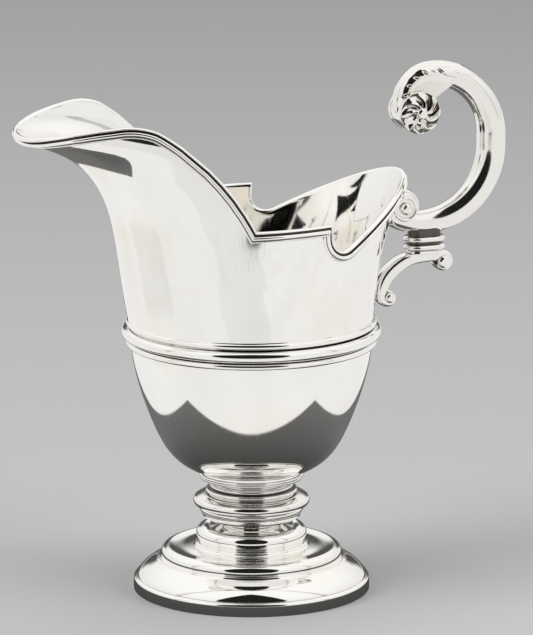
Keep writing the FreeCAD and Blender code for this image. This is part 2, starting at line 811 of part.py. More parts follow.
reel_blank = document.addObject("PartDesign::Body", "reel_blank")
core = stadium(sizes.reel_half_length - sizes.reel_waist, sizes.reel_half_width - sizes.reel_waist)
padded(reel_blank, "reel_core", "XY_Plane", core, reel_top - bracket_top, bracket_top)
ring_foot = bracket_top + sizes.reel_ring_lift
for ring_name in ("reel_ring_lower", "reel_ring_upper"):
    ring = stadium(sizes.reel_half_length, sizes.reel_half_width)
    padded(reel_blank, ring_name, "XY_Plane", ring, sizes.reel_ring, ring_foot)
    ring_foot = ring_foot + sizes.reel_ring + sizes.reel_ring_gap
keep(cut_from("handle_reel", reel_blank, handle_scroll), "handle_reel")

bracket_blank = document.addObject("PartDesign::Body", "bracket_blank")
bracket_width = 2 * sizes.bracket_half_width
lower_radius = sizes.bracket_lower_radius
padded(bracket_blank, "bracket_strap", "XZ_Plane", [
    (strap_root, lower_level - lower_radius, 0),
    (lower_reach, lower_level - lower_radius, 0),
    (lower_reach + lower_radius, lower_level, 0),
    (lower_reach + lower_radius, lower_level + 3.0, -0.26),
    (reel_reach - 0.9, bracket_under, 0),
    (outer_reach, bracket_under, 0),
    (outer_reach, bracket_top, 0),
    (reel_reach - 0.4, bracket_top, 0.28),
    (lower_reach - 2.2, lower_level + 4.6, 0),
    (strap_root, lower_level + sizes.bracket_foot_rise, 0),
], bracket_width, midplane=True)
padded(bracket_blank, "bracket_outer_volute", "XZ_Plane", disc_outline(
    outer_reach, outer_level, sizes.bracket_outer_radius),
    bracket_width, midplane=True)
padded(bracket_blank, "bracket_lower_volute", "XZ_Plane", disc_outline(
    lower_reach, lower_level, lower_radius), bracket_width, midplane=True)
plated_body = shaped("plated_body", plated_solid)
keep(cut_from("handle_bracket", bracket_blank, plated_body), "handle_bracket")

pellets = []
for reach, level in ((lower_reach, lower_level), (outer_reach, outer_level)):
    for sign in (-1, 1):
        face = Vector(number(reach), sign * number(sizes.bracket_half_width), number(level))
        pellet = Part.makeCylinder(
            number(sizes.pellet_radius), number(sizes.pellet_height), face, Vector(0, sign, 0))
        crown = max(pellet.Edges, key=lambda edge: abs(edge.CenterOfMass.y))
        pellets.append(pellet.makeFillet(number(sizes.pellet_height) * 0.8, [crown]))
keep(shaped("bracket_pellets", Part.makeCompound(pellets)), "bracket_pellets")

# ---------------------------------------------------------------- check and write
document.recompute()
for item in document.Objects:
    faults = {"Invalid", "Error"} & set(item.State)
    if faults:
        raise RuntimeError(f"{item.Name} did not build: {faults}")
for piece in pieces:
    if piece.Shape.isNull() or not piece.Shape.isValid() or not piece.Shape.Solids:
        raise RuntimeError(f"{piece.Label} has no valid solid")
os.makedirs("parts", exist_ok=True)
for piece in pieces:
    piece.Shape.exportStep(f"parts/{piece.Label}.step")
    print(f"{piece.Label}: {len(piece.Shape.Solids)} solid(s), {piece.Shape.Volume:.0f} mm3")
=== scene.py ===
# %% [markdown]
# A helmet-shaped silver cream jug.  The real one is raised from sheet and soldered to cast and
# drawn pieces: a stepped foot, a turned stem, a bowl, a flared upper body with an applied rim,
# and a scroll handle.  The CAD frame gives every piece its size and its place.  This script gives
# each piece a smooth, dense surface, because polished silver shows its surroundings and so shows
# every flat facet.

# %% Load the frame
import json
import math

import bmesh
import bpy
import numpy as np
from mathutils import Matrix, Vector

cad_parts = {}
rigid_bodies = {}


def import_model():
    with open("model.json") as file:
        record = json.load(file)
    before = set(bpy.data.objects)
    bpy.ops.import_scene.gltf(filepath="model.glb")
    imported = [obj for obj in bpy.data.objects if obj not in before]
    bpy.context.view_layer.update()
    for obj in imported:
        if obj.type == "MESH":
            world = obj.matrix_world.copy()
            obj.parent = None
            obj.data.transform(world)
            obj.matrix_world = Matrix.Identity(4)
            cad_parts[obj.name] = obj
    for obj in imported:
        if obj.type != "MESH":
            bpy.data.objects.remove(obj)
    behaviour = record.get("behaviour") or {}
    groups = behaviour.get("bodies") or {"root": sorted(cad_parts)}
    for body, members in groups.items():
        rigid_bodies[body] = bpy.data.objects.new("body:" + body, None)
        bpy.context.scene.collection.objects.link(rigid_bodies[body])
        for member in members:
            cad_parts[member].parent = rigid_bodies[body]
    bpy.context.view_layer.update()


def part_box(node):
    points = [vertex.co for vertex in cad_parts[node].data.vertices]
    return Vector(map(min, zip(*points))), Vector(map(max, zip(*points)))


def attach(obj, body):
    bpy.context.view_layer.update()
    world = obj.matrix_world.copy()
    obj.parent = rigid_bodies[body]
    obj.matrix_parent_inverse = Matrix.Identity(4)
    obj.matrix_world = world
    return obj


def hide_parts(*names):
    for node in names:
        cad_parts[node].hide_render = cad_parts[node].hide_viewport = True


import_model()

MM = 0.001


# %% [markdown]
# The levels of the jug are read from the frame, so that each piece starts where the one below it
# ends.  All lengths below are in millimetres, and only the last step of making a mesh turns them
# into metres.

# %% Read levels and radii
def low(node):
    return Vector(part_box(node)[0]) / MM


def high(node):
    return Vector(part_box(node)[1]) / MM


foot_radius = high("foot_wire").x
foot_top = high("foot_wire").z
dome_top = low("stem_knop").z
collar_foot = low("bowl_collar").z
bowl_foot = low("bowl").z
waist = low("upper_body").z
waist_radius = high("bowl").x
girdle_foot = low("girdle_moulding").z
girdle_top = high("girdle_moulding").z
print(f"foot: radius {foot_radius:.1f}, wire {foot_top:.1f} high")
print(f"waist: radius {waist_radius:.1f} at level {waist:.1f}")

# %% [markdown]
# Every piece is a mesh made from lists of points.  One helper turns points and faces into an
# object: it merges doubled points, turns the faces outwards and shades it smooth, with crisp
# lines kept where the surface turns sharply.  A value per point called recess says how deep in a
# groove that point lies, and the silver is darkened there with painted shade, together with the
# tarnish that gathers where a polishing cloth can't reach.


# %% Mesh helpers
MERGE, SLIVER = 1e-6, 1e-7    # metres: closer points become one, and shorter edges go
SHARP_TURN = 38.0             # degrees: a surface that turns by more keeps a crisp line


def linked(name, data):
    """A new object, put in the scene."""
    thing = bpy.data.objects.new(name, data)
    bpy.context.scene.collection.objects.link(thing)
    return thing


def grid_faces(rows, columns, wrap_rows=False, wrap_columns=False):
    """Quads between the points of a grid stored row by row."""
    faces = []
    for row in range(rows if wrap_rows else rows - 1):
        above = (row + 1) % rows
        for column in range(columns if wrap_columns else columns - 1):
            beside = (column + 1) % columns
            faces.append((row * columns + column, row * columns + beside,
                          above * columns + beside, above * columns + column))
    return faces


def solid_piece(name, points, faces, recess=None, sharp=SHARP_TURN):
    """A closed smooth-shaded object from points in millimetres."""
    mesh = bpy.data.meshes.new(name)
    mesh.from_pydata((np.asarray(points, float) * MM).tolist(), [], faces)
    depth = mesh.attributes.new("recess", "FLOAT", "POINT")
    depths = np.zeros(len(points)) if recess is None else np.ravel(recess)
    depth.data.foreach_set("value", depths)
    shell = bmesh.new()
    shell.from_mesh(mesh)
    bmesh.ops.remove_doubles(shell, verts=shell.verts, dist=MERGE)
    bmesh.ops.dissolve_degenerate(shell, edges=shell.edges, dist=SLIVER)
    bmesh.ops.recalc_face_normals(shell, faces=shell.faces)
    shell.to_mesh(mesh)
    shell.free()
    mesh.polygons.foreach_set("use_smooth", [True] * len(mesh.polygons))
    mesh.set_sharp_from_angle(angle=math.radians(sharp))
    return linked(name, mesh)


def capped_sweep(name, rings, recess=None, sharp=SHARP_TURN):
    """A solid between closed rings of points, one ring after another, with flat ends."""
    rings = np.asarray(rings, float)
    count, around = rings.shape[:2]
    faces = grid_faces(count, around, wrap_columns=True)
    faces.append(tuple(range(around))[::-1])
    faces.append(tuple(range((count - 1) * around, count * around)))
    return solid_piece(name, rings.reshape(-1, 3), faces, recess, sharp)


# %% [markdown]
# Outlines are written the way a turner thinks of them: corners joined by straight lines or arcs.
# The third number of a corner bows the line that leaves it: 0 is straight, 1 is a half circle,
# and a minus sign hollows it.  Real silver has no knife edges, so every corner is then eased by a
# small round.


# %% Outlines and turning
EASED_TURN = 24.0     # degrees: a corner that turns by less is left as it is
EASED_SHARE = 0.45    # the longest part of an edge that a round may take


def outline(corners, closed=True, step=7.0):
    """Points along straight and bowed edges, about one for each step degrees of an arc."""
    points = []
    for index, (across, up, bow) in enumerate(corners):
        start = np.array((across, up), float)
        points.append(start)
        if not bow or (not closed and index == len(corners) - 1):
            continue
        following = corners[(index + 1) % len(corners)]
        end = np.array(following[:2], float)
        chord = end - start
        half = np.linalg.norm(chord) / 2
        right = np.array((chord[1], -chord[0])) / (2 * half)
        sweep = 4 * math.atan(abs(bow))
        radius = half / math.sin(sweep / 2)
        count = max(3, int(math.degrees(sweep) / step))
        for turn in range(1, count):
            angle = sweep * (turn / count - 0.5)
            along = radius * math.sin(angle)
            rise = radius * (math.cos(angle) - math.cos(sweep / 2))
            points.append((start + end) / 2 + chord / (2 * half) * along
                          + right * rise * math.copysign(1, bow))
    return np.array(points)


def eased(points, radius, closed=True):
    """The outline with a small round on every real corner."""
    result = []
    count = len(points)
    for index, point in enumerate(points):
        if (not closed and index in (0, count - 1)) or abs(point[0]) < 1e-6:
            result.append(point)
            continue
        back = points[index - 1] - point
        ahead = points[(index + 1) % count] - point
        length_back, length_ahead = np.linalg.norm(back), np.linalg.norm(ahead)
        cosine = np.dot(back, ahead) / max(length_back * length_ahead, 1e-12)
        if cosine < math.cos(math.radians(180 - EASED_TURN)):
            result.append(point)
            continue
        start = point + back * min(radius / length_back, EASED_SHARE)
        end = point + ahead * min(radius / length_ahead, EASED_SHARE)
        for part in (0, 0.25, 0.5, 0.75, 1):
            result.append(start * (1 - part) ** 2 + point * 2 * part * (1 - part)
                          + end * part ** 2)
    return np.array(result)


def turned(name, corners, ease=0.16, around=224, recess_of=None):
    """A piece turned about the upright axis from (radius, height, bow) corners."""
    points = eased(outline(corners), ease)
    angles = np.linspace(0, 2 * math.pi, around, endpoint=False)
    grid = np.empty((len(points), around, 3))
    grid[:, :, 0] = points[:, :1] * np.cos(angles)
    grid[:, :, 1] = points[:, :1] * np.sin(angles)
    grid[:, :, 2] = points[:, 1:2]
    recess = None
    if recess_of is not None:
        recess = np.repeat([recess_of(radius, level) for radius, level in points], around)
    faces = grid_faces(len(points), around, wrap_rows=True, wrap_columns=True)
    return solid_piece(name, grid.reshape(-1, 3), faces, recess)


SIDES = (("near", "left", -1), ("far", "right", 1))


def stands_for(piece, material, *nodes):
    """Give a finished piece its metal and put it in place of its CAD nodes."""
    piece.data.materials.clear()
    piece.data.materials.append(material)
    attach(piece, "root")
    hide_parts(*nodes)


# %% [markdown]
# Silver is one shader: a metal with a very low roughness.  What makes it look like a real, used
# piece is the small stuff.  Broad, shallow waves are left by the hammer, hair-fine scratches by
# cloths and faint warm clouds by the air, and grooves are darkened by painted shade mixed with
# tarnish.  One small class lets shader maths be written as plain sums, and one method makes any
# other node.


# %% Node helpers
class Value:
    """A socket that can be added, multiplied and so on; each sum adds a Math node."""

    def __init__(self, tree, socket):
        self.tree = tree
        self.socket = socket

    def math(self, operation, first, second):
        return self.tree.node("ShaderNodeMath", {"operation": operation}, {0: first, 1: second})

    def __add__(self, other):
        return self.math("ADD", self, other)

    def __radd__(self, other):
        return self.math("ADD", other, self)

    def __sub__(self, other):
        return self.math("SUBTRACT", self, other)

    def __rsub__(self, other):
        return self.math("SUBTRACT", other, self)

    def __mul__(self, other):
        return self.math("MULTIPLY", self, other)

    def __rmul__(self, other):
        return self.math("MULTIPLY", other, self)

    def __truediv__(self, other):
        return self.math("DIVIDE", self, other)

    def __rtruediv__(self, other):
        return self.math("DIVIDE", other, self)

    def __abs__(self):
        return self.tree.node("ShaderNodeMath", {"operation": "ABSOLUTE"}, {0: self})


class Tree:
    """A node tree whose nodes are made by one method."""

    def __init__(self, nodes):
        self.nodes = nodes

    def node(self, kind, settings=None, inputs=None, output=0):
        """Make a node, set it, fill or link its sockets, and return one of its outputs."""
        made = self.nodes.nodes.new(kind)
        for key, value in (settings or {}).items():
            if key == "stops":
                ramp = made.color_ramp
                while len(ramp.elements) < len(value):
                    ramp.elements.new(0.5)
                for element, (position, colour) in zip(ramp.elements, value):
                    element.position = position
                    element.color = colour
            else:
                setattr(made, key, value)
        for key, value in (inputs or {}).items():
            if isinstance(value, Value):
                self.nodes.links.new(value.socket, made.inputs[key])
            else:
                made.inputs[key].default_value = value
        if not made.outputs:
            return None
        return Value(self, made.outputs[output])

    def smooth_step(self, value, start, end):
        return self.node("ShaderNodeMapRange", {"interpolation_type": "SMOOTHSTEP"},
                         {"Value": value, "From Min": start, "From Max": end})


def grey(level):
    return (level, level, level, 1.0)


def blank_material(name):
    """A material whose node tree is still empty."""
    material = bpy.data.materials.new(name)
    material.use_nodes = True
    material.node_tree.nodes.clear()
    return material, Tree(material.node_tree)


# %% Silver
HAIR_TILTS = (0.3, 1.25, 2.4)              # the three ways in which the cloth was wiped
HAIR_GRAIN = (5200.0, 260.0, 260.0)        # fine across a scratch and long along it
HAIR_DEPTH, RELIEF = 0.0022, 0.00025
CLOUD_GLOSS, HAIR_GLOSS, TARNISH_AND_SHADE_GLOSS = 0.05, 0.10, 0.25
WARM_SHARES = (0.97, 0.92, 0.80)
# Near-black for grooves and hollows: painted shade, with some tarnish.
DARK_TARNISH_AND_SHADE = (0.075, 0.066, 0.055, 1.0)


def silver(name, tone, roughness, wave, scratch, tarnish):
    """Polished silver: tone is its colour; the rest say how strong each fine effect is."""
    material, tree = blank_material(name)
    place = tree.node("ShaderNodeTexCoord", output="Object")
    clouds = tree.node("ShaderNodeTexNoise", {}, {
        "Vector": place, "Scale": 46.0, "Detail": 5.0, "Roughness": 0.62})
    waves = tree.node("ShaderNodeTexNoise", {}, {
        "Vector": place, "Scale": 95.0, "Detail": 1.0, "Roughness": 0.4})
    hairs = None
    for tilt in HAIR_TILTS:
        wiped = tree.node("ShaderNodeMapping", {}, {
            "Vector": place, "Rotation": (tilt, tilt * 0.7, tilt * 1.9), "Scale": HAIR_GRAIN})
        hair = tree.node("ShaderNodeTexNoise", {}, {
            "Vector": wiped, "Scale": 1.0, "Detail": 2.0, "Roughness": 0.5})
        line = tree.smooth_step(hair, 0.64, 0.74)
        hairs = line if hairs is None else hairs + line
    # Painted shade with some tarnish: the recess value, stirred by the clouds, makes the skin mask
    # that mixes the silver towards near-black and roughens it.
    recess = tree.node("ShaderNodeAttribute", {"attribute_name": "recess"}, output="Fac")
    skin = tree.smooth_step(recess + clouds * 0.35, 0.55, 1.15)
    cloudy = tree.smooth_step(clouds, 0.52, 0.72) * tarnish
    warm_tone = (*(part * share for part, share in zip(tone, WARM_SHARES)), 1.0)
    warm = tree.node("ShaderNodeMix", {"data_type": "RGBA"}, {
        "Factor": cloudy, "A": (*tone, 1.0), "B": warm_tone}, output=2)
    dark = tree.node("ShaderNodeMix", {"data_type": "RGBA"}, {
        "Factor": skin, "A": warm, "B": DARK_TARNISH_AND_SHADE}, output=2)
    gloss = roughness + cloudy * CLOUD_GLOSS + hairs * (HAIR_GLOSS * scratch) + skin * TARNISH_AND_SHADE_GLOSS
    height = waves * wave + hairs * (-HAIR_DEPTH * scratch)
    bump = tree.node("ShaderNodeBump", {}, {
        "Strength": 1.0, "Distance": RELIEF, "Height": height})
    metal = tree.node("ShaderNodeBsdfPrincipled", {}, {
        "Base Color": dark, "Metallic": 1.0, "Roughness": gloss, "Normal": bump})
    tree.node("ShaderNodeOutputMaterial", {}, {"Surface": metal})
    return material


SHEET = silver("silver_sheet", (0.955, 0.945, 0.925), 0.045, 0.10, 0.7, 0.5)
WIRE = silver("silver_drawn", (0.955, 0.945, 0.925), 0.04, 0.02, 0.5, 0.3)
# The cast pieces are rougher, and their darker tone is painted shade that stands in for the greyer
# shading on the handle.
CAST_SHADED = silver("silver_cast", (0.90, 0.885, 0.86), 0.10, 0.16, 0.6, 0.8)
print("finishes:", SHEET.name, WIRE.name, CAST_SHADED.name)


# %% [markdown]
# The foot is a raised sheet with a slope, a small step, a round hump, a dished shelf and a second
# hump, standing on a drawn wire.  A lathe outline suits it: the same rings would be spun over a
# chuck.

# %% Foot
FOOT_WALL, WIRE_WIDTH = 0.9, 2.2
ledge = high("foot_dome").x
slope_end = ledge - 4.7
hump_out = slope_end - 1.2
hump_in = hump_out - 2.4
riser = 12.7
hump_level = foot_top + 7.2

foot_wire = turned("foot_wire_ring", [
    (foot_radius - WIRE_WIDTH, 0.0, 0),
    (foot_radius - 0.15, 0.0, 0.2),
    (foot_radius, 0.3, 0),
    (foot_radius, foot_top - 0.75, 0.35),
    (ledge + 0.05, foot_top, 0),
    (foot_radius - WIRE_WIDTH, foot_top, 0),
], ease=0.08)
stands_for(foot_wire, WIRE, "foot_wire")

foot_dome = turned("foot_shell", [
    (ledge - FOOT_WALL, foot_top, 0),
    (ledge - 0.05, foot_top, 0),
    (ledge - 0.35, foot_top + 0.75, 0.14),
    (slope_end + 0.25, foot_top + 4.0, 0),
    (slope_end - 0.15, foot_top + 4.25, 0),
    (slope_end - 0.35, foot_top + 4.75, -0.2),
    (hump_out, foot_top + 4.95, 0.62),
    (hump_in, hump_level, -0.12),
    (riser + 1.3, foot_top + 7.35, -0.30),
    (riser + 0.5, foot_top + 7.75, 0.5),
    (riser + 0.1, foot_top + 8.25, 0),
    (riser - 0.45, foot_top + 8.3, 0.5),
    (riser - 0.45, foot_top + 8.85, 0),
    (riser - 0.1, foot_top + 8.95, 0.88),
    (riser - 2.5, dome_top - 0.30, -0.12),
    (7.0, dome_top + 0.45, 0),
    (0.0, dome_top + 0.45, 0),
    (0.0, dome_top - 1.3, 0),
    (riser - 2.6, dome_top - 1.3, 0),
    (riser - 1.6, foot_top + 8.2, 0),
    (riser - 1.2, foot_top + 5.6, 0),
    (hump_in, hump_level - 1.1, 0),
    (hump_out - 1.1, foot_top + 4.2, 0),
    (slope_end - 1.1, foot_top + 3.1, 0),
])
stands_for(foot_dome, SHEET, "foot_dome")

# %% [markdown]
# The stem is one turning.  Its rings are full rounds with deep grooves between, and the grooves
# are darkened with painted shade, which gives the dark lines that part one ring from the next.

# %% Stem and collar
disc_foot = dome_top + 1.9
knop_foot = disc_foot + 3.0
torus_foot = knop_foot + 2.7
ring_foot = torus_foot + 1.3
ring_top = ring_foot + 1.4


def stem_depth(_, level):
    """Painted shade along the lines that part one ring from the next."""
    lines = (disc_foot + 1.75, knop_foot - 0.1, torus_foot + 0.57, ring_foot + 0.2, ring_top)
    return 0.8 if any(abs(level - line) < 0.1 for line in lines) else 0.0


def collar_depth(radius, level):
    """Painted shade in the groove between the collar's two beads."""
    in_groove = 11.9 < radius < 12.05 and collar_foot + 1.1 < level < collar_foot + 2.0
    return 0.7 if in_groove else 0.0


stem = turned("stem_turning", [
    (0.0, dome_top - 0.3, 0),
    (7.6, dome_top - 0.3, -0.30),
    (6.7, dome_top + 0.9, 0),
    (6.7, disc_foot - 0.2, -0.3),
    (7.4, disc_foot, 0),
    (10.9, disc_foot, 0.22),
    (12.05, disc_foot + 1.6, 0),
    (11.8, disc_foot + 1.75, 0),
    (12.25, disc_foot + 1.9, 0.30),
    (12.15, knop_foot - 0.3, 0),
    (11.9, knop_foot - 0.12, 0),
    (12.4, knop_foot, 0),
    (13.0, knop_foot + 0.05, 0.72),
    (12.95, torus_foot - 0.35, 0.16),
    (10.3, torus_foot + 0.15, 0),
    (10.0, torus_foot + 0.18, 0.5),
    (10.0, torus_foot + 0.55, 0),
    (10.5, torus_foot + 0.6, 0.85),
    (10.5, ring_foot + 0.15, 0),
    (9.3, ring_foot + 0.25, 0),
    (9.5, ring_foot + 0.32, 0.8),
    (9.5, ring_top - 0.1, 0),
    (8.7, ring_top, -0.3),
    (8.9, collar_foot, 0),
    (0.0, collar_foot, 0),
], ease=0.12, recess_of=stem_depth)
stands_for(stem, CAST_SHADED, "stem_knop")

collar = turned("collar_ring", [
    (0.0, collar_foot, 0),
    (9.6, collar_foot, -0.30),
    (11.2, collar_foot + 0.55, 0),
    (11.7, collar_foot + 0.55, 0.55),
    (12.2, collar_foot + 1.10, 0),
    (12.0, collar_foot + 1.20, 0),
    (12.25, collar_foot + 1.30, 0.55),
    (12.25, collar_foot + 1.85, 0),
    (11.95, collar_foot + 1.95, 0),
    (12.0, bowl_foot + 2.2, 0),
    (0.0, bowl_foot + 0.5, 0),
], ease=0.08, recess_of=collar_depth)
stands_for(collar, WIRE, "bowl_collar")


# %% [markdown]
# The bowl's side has no corner anywhere, so its outline is a cubic B-spline: a few poles pull one
# smooth curve, and the reflections flow over it without a kink.  The same curve function shapes
# the upper body.

# %% Smooth curves
def spline(poles, count=400):
    """Points on the clamped cubic B-spline of some poles."""
    poles = np.asarray(poles, float)
    spans = len(poles) - 3
    knots = np.concatenate(([0.0] * 3, np.arange(spans + 1), [float(spans)] * 3))
    parameters = np.linspace(0, spans - 1e-9, count)
    points = np.empty((count, poles.shape[1]))
    for index, parameter in enumerate(parameters):
        span = int(parameter) + 3
        local = [poles[span - 3 + offset].copy() for offset in range(4)]
        for level in range(1, 4):
            for offset in range(3, level - 1, -1):
                start = knots[span - 3 + offset]
                share = (parameter - start) / (knots[span + 1 + offset - level] - start)
                local[offset] = (1 - share) * local[offset - 1] + share * local[offset]
        points[index] = local[3]
    return points


BOWL_WALL, BOWL_ROWS = 1.0, 90
BOWL_POLES = [(0.0, 0.0), (7.0, 0.0), (13.5, 1.4), (20.0, 5.8), (24.0, 14.8), (27.0, 23.3),
              (28.45, 30.3), (28.6, 35.4)]
side = spline(BOWL_POLES, BOWL_ROWS) + (0.0, bowl_foot)
side *= (waist_radius / side[-1][0], 1.0)
slope = np.gradient(side, axis=0)
slope /= np.linalg.norm(slope, axis=1)[:, None]
inner_side = side + np.stack((-slope[:, 1], slope[:, 0]), axis=1) * BOWL_WALL
inner_side[0][0] = 0.0
bowl_corners = [(*point, 0) for point in (*side, *inner_side[::-1])]
bowl = turned("bowl_shell", bowl_corners, ease=0.05)
stands_for(bowl, SHEET, "bowl")
print(f"bowl outline: {len(side)} points, {side[-1][1] - side[0][1]:.1f} mm high")

# %% [markdown]
# A reeded girdle hides the joint between the bowl and the upper body: a small reed, a bold one
# and a small one, with grooves between that are darkened with painted shade.

# %% Girdle
SMALL_REED = 1.6
reed_line_low = girdle_foot + SMALL_REED
reed_line_high = girdle_top - SMALL_REED


def girdle_depth(radius, level):
    """Painted shade at the bottom of the two grooves between the reeds."""
    near_groove = min(abs(level - reed_line_low), abs(level - reed_line_high)) < 0.22
    return 0.95 if near_groove and radius < waist_radius + 0.6 else 0.0


girdle = turned("girdle_reeds", [
    (waist_radius - 0.4, girdle_foot, 0),
    (waist_radius + 0.35, girdle_foot, 0.8),
    (waist_radius + 0.55, reed_line_low - 0.15, 0),
    (waist_radius + 0.1, reed_line_low - 0.05, 0),
    (waist_radius + 0.1, reed_line_low + 0.12, 0),
    (waist_radius + 0.75, reed_line_low + 0.2, 0.95),
    (waist_radius + 0.75, reed_line_high - 0.2, 0),
    (waist_radius + 0.1, reed_line_high - 0.12, 0),
    (waist_radius + 0.1, reed_line_high + 0.05, 0),
    (waist_radius + 0.55, reed_line_high + 0.15, 0.8),
    (waist_radius + 0.3, girdle_top, 0),
    (waist_radius - 0.4, girdle_top, 0),
], ease=0.06, around=256, recess_of=girdle_depth)
stands_for(girdle, WIRE, "girdle_moulding")

# %% [markdown]
# The upper body flares from a round waist into a long lip.  Every level section is made of two
# half ellipses that share their width: a longer one towards the lip and a shorter one towards the
# handle.  Four smooth curves give, for each level, the reach to the front, to the back and to the
# sides, and how far the widest place slides forward.  That is much smoother than joining hand-
# placed points.

# %% Sections of the upper body
WAIST_DRAWN = 28.6            # the waist radius for which the curves and the rim line are drawn
TURN_STEP, RISE_STEP = 0.004, 0.15    # half the gap between points that give a slope
scale = waist_radius / WAIST_DRAWN


def section_curve(*poles):
    """A smooth curve pulled by (reach, rise above the waist) poles."""
    return spline(np.array(poles) * scale)


FRONT = section_curve((28.6, 0), (30.6, 9), (32.2, 22), (35.2, 34), (42.2, 43), (51.5, 47.6),
                      (61.9, 50.9), (60.8, 58))
BACK = section_curve((28.6, 0), (29.2, 9), (31.4, 22), (37.4, 34), (41.0, 43), (41.0, 58))
SIDE = section_curve((28.6, 0), (28.6, 9), (28.1, 22), (27.2, 34), (25.3, 43), (21.5, 58))
SHIFT = section_curve((0, 0), (0, 9), (0, 22), (0, 34), (7.0, 43), (10.5, 58))


def reach(curve, rise):
    return np.interp(rise, curve[:, 1], curve[:, 0])


def skin(angle, level, out=0.0):
    """Points on the body's outer surface, at angles about the axis from the handle side."""
    angle, level = np.broadcast_arrays(np.asarray(angle, float), np.asarray(level, float))
    rise = level - waist
    shift = -reach(SHIFT, rise)
    length = np.where(np.cos(angle) > 0,
                      reach(BACK, rise) - shift, reach(FRONT, rise) + shift)
    point = np.stack((shift + length * np.cos(angle),
                      reach(SIDE, rise) * np.sin(angle), level), axis=-1)
    if np.any(out):
        point = point + skin_normal(angle, level) * np.asarray(out)[..., None]
    return point


def skin_normal(angle, level):
    """The directions straight out of the body's surface."""
    across = skin(angle + TURN_STEP, level) - skin(angle - TURN_STEP, level)
    upward = skin(angle, level + RISE_STEP) - skin(angle, level - RISE_STEP)
    normal = np.cross(across, upward)
    return normal / np.linalg.norm(normal, axis=-1)[..., None]


# %% [markdown]
# Seen from the side, the rim is one line: it sweeps down from the lip, turns sharply into a
# straight shoulder, drops at a small step, rounds a notch and climbs to the back.  Where this
# line meets the flared surface is the real rim, and that is found by going up each column until
# it crosses the line.

# %% Rim line
RIM_CORNERS = [(58.0, 46.8, 0), (38.0, 35.8, 0), (15.3, 23.3, -0.56), (9.8, 26.0, 0),
               (9.8, 29.4, 0), (-8.9, 29.1, 0.145), (-30.5, 52.9, 0.14), (-39.5, 54.1, 0.07),
               (-62.0, 48.7, 0)]
SEARCH_FROM, SEARCH_TO, SEARCH_POINTS = 15.0, 57.0, 3000
HALF_STATIONS, STATION_GAP = 170, math.radians(0.45)
rim_line = outline(RIM_CORNERS, closed=False, step=3.0) * scale + (0.0, waist)
line_reach, line_level = rim_line[::-1, 0], rim_line[::-1, 1]
NOTCH, STEP_LOW, STEP_HIGH, SHOULDER = (
    (corner[0] * scale, corner[1] * scale + waist) for corner in RIM_CORNERS[2:6])


def crossing(angle):
    """The level at which a column of the body first meets the rim line."""
    levels = np.linspace(waist + SEARCH_FROM, waist + SEARCH_TO, SEARCH_POINTS)
    above = levels - np.interp(skin(angle, levels)[:, 0], line_reach, line_level)
    first = int(np.argmax(above >= 0))
    share = above[first - 1] / (above[first - 1] - above[first])
    return levels[first - 1] + share * (levels[first] - levels[first - 1])


def angle_of(reach_along, level):
    """The angle at which the body's surface at a level has a given reach along the jug."""
    rise = level - waist
    shift = -reach(SHIFT, rise)
    length = reach(BACK, rise) - shift if reach_along > shift else reach(FRONT, rise) + shift
    return math.acos(max(-1.0, min(1.0, (reach_along - shift) / length)))


corner_stations = [(angle_of(*corner), corner[1])
                   for corner in (NOTCH, STEP_LOW, STEP_HIGH, SHOULDER)]
stations = list(corner_stations)
for angle in np.linspace(0, math.pi, HALF_STATIONS):
    if min(abs(angle - corner[0]) for corner in corner_stations) > STATION_GAP:
        stations.append((angle, crossing(angle)))
stations.sort()
half_angles = np.array([station[0] for station in stations])
half_levels = np.array([station[1] for station in stations])
loop_angles = np.concatenate((half_angles, -half_angles[-2:0:-1]))
loop_levels = np.concatenate((half_levels, half_levels[-2:0:-1]))
print(f"rim: {len(loop_angles)} stations, lip tip at level {half_levels[-1]:.1f}")

# %% [markdown]
# The upper body is sheet bent round and seamed, so it has the same wall everywhere.  Its outside
# is a grid of points on the section curves, its inside the same grid moved in by the wall, and it
# stops a little below the rim line, because the rim wire covers its edge.

# %% Upper body shell
BODY_WALL, RIM_COVER, ROWS = 1.0, 0.7, 58
shares = np.linspace(0, 1, ROWS)[:, None]
levels = waist + (loop_levels[None, :] - RIM_COVER - waist) * shares
outer = skin(loop_angles[None, :], levels)
all_angles = np.broadcast_to(loop_angles, levels.shape)
inner = outer - skin_normal(all_angles, levels) * BODY_WALL
wall = np.concatenate((outer, inner[::-1]))
body = solid_piece("upper_body_shell", wall.reshape(-1, 3),
                   grid_faces(2 * ROWS, len(loop_angles), wrap_rows=True, wrap_columns=True))
stands_for(body, SHEET, "upper_body")
print(f"upper body: lip reaches {outer[..., 0].min():.1f}, CAD {low('rim_lip').x:.1f}")

# %% [markdown]
# The rim is strengthened by an applied wire: a bright bead that rolls over the edge, a groove and
# a thin fillet below, with painted shade and painted reflection darkening the groove and the line
# under the fillet.  It is a sweep.  At each corner the section is stretched along the line that
# halves the corner, which is how a silversmith mitres a wire, so the four lengths meet with a
# clean joint.

# %% Rim wire
MITRE_LIMIT = -0.6    # keeps a very sharp corner's mitre from running away
rim_points = skin(loop_angles, loop_levels)
rim_outward = skin_normal(loop_angles, loop_levels)
step_on = np.roll(rim_points, -1, axis=0) - rim_points
step_on /= np.linalg.norm(step_on, axis=1)[:, None]
down_on = np.cross(rim_outward, step_on)
down_back = np.cross(rim_outward, np.roll(step_on, 1, axis=0))
down_on /= np.linalg.norm(down_on, axis=1)[:, None]
down_back /= np.linalg.norm(down_back, axis=1)[:, None]
agreement = np.sum(down_on * down_back, axis=1)[:, None]
rim_down = (down_on + down_back) / (1 + np.maximum(agreement, MITRE_LIMIT))
if rim_down[0][2] > 0:
    rim_down = -rim_down

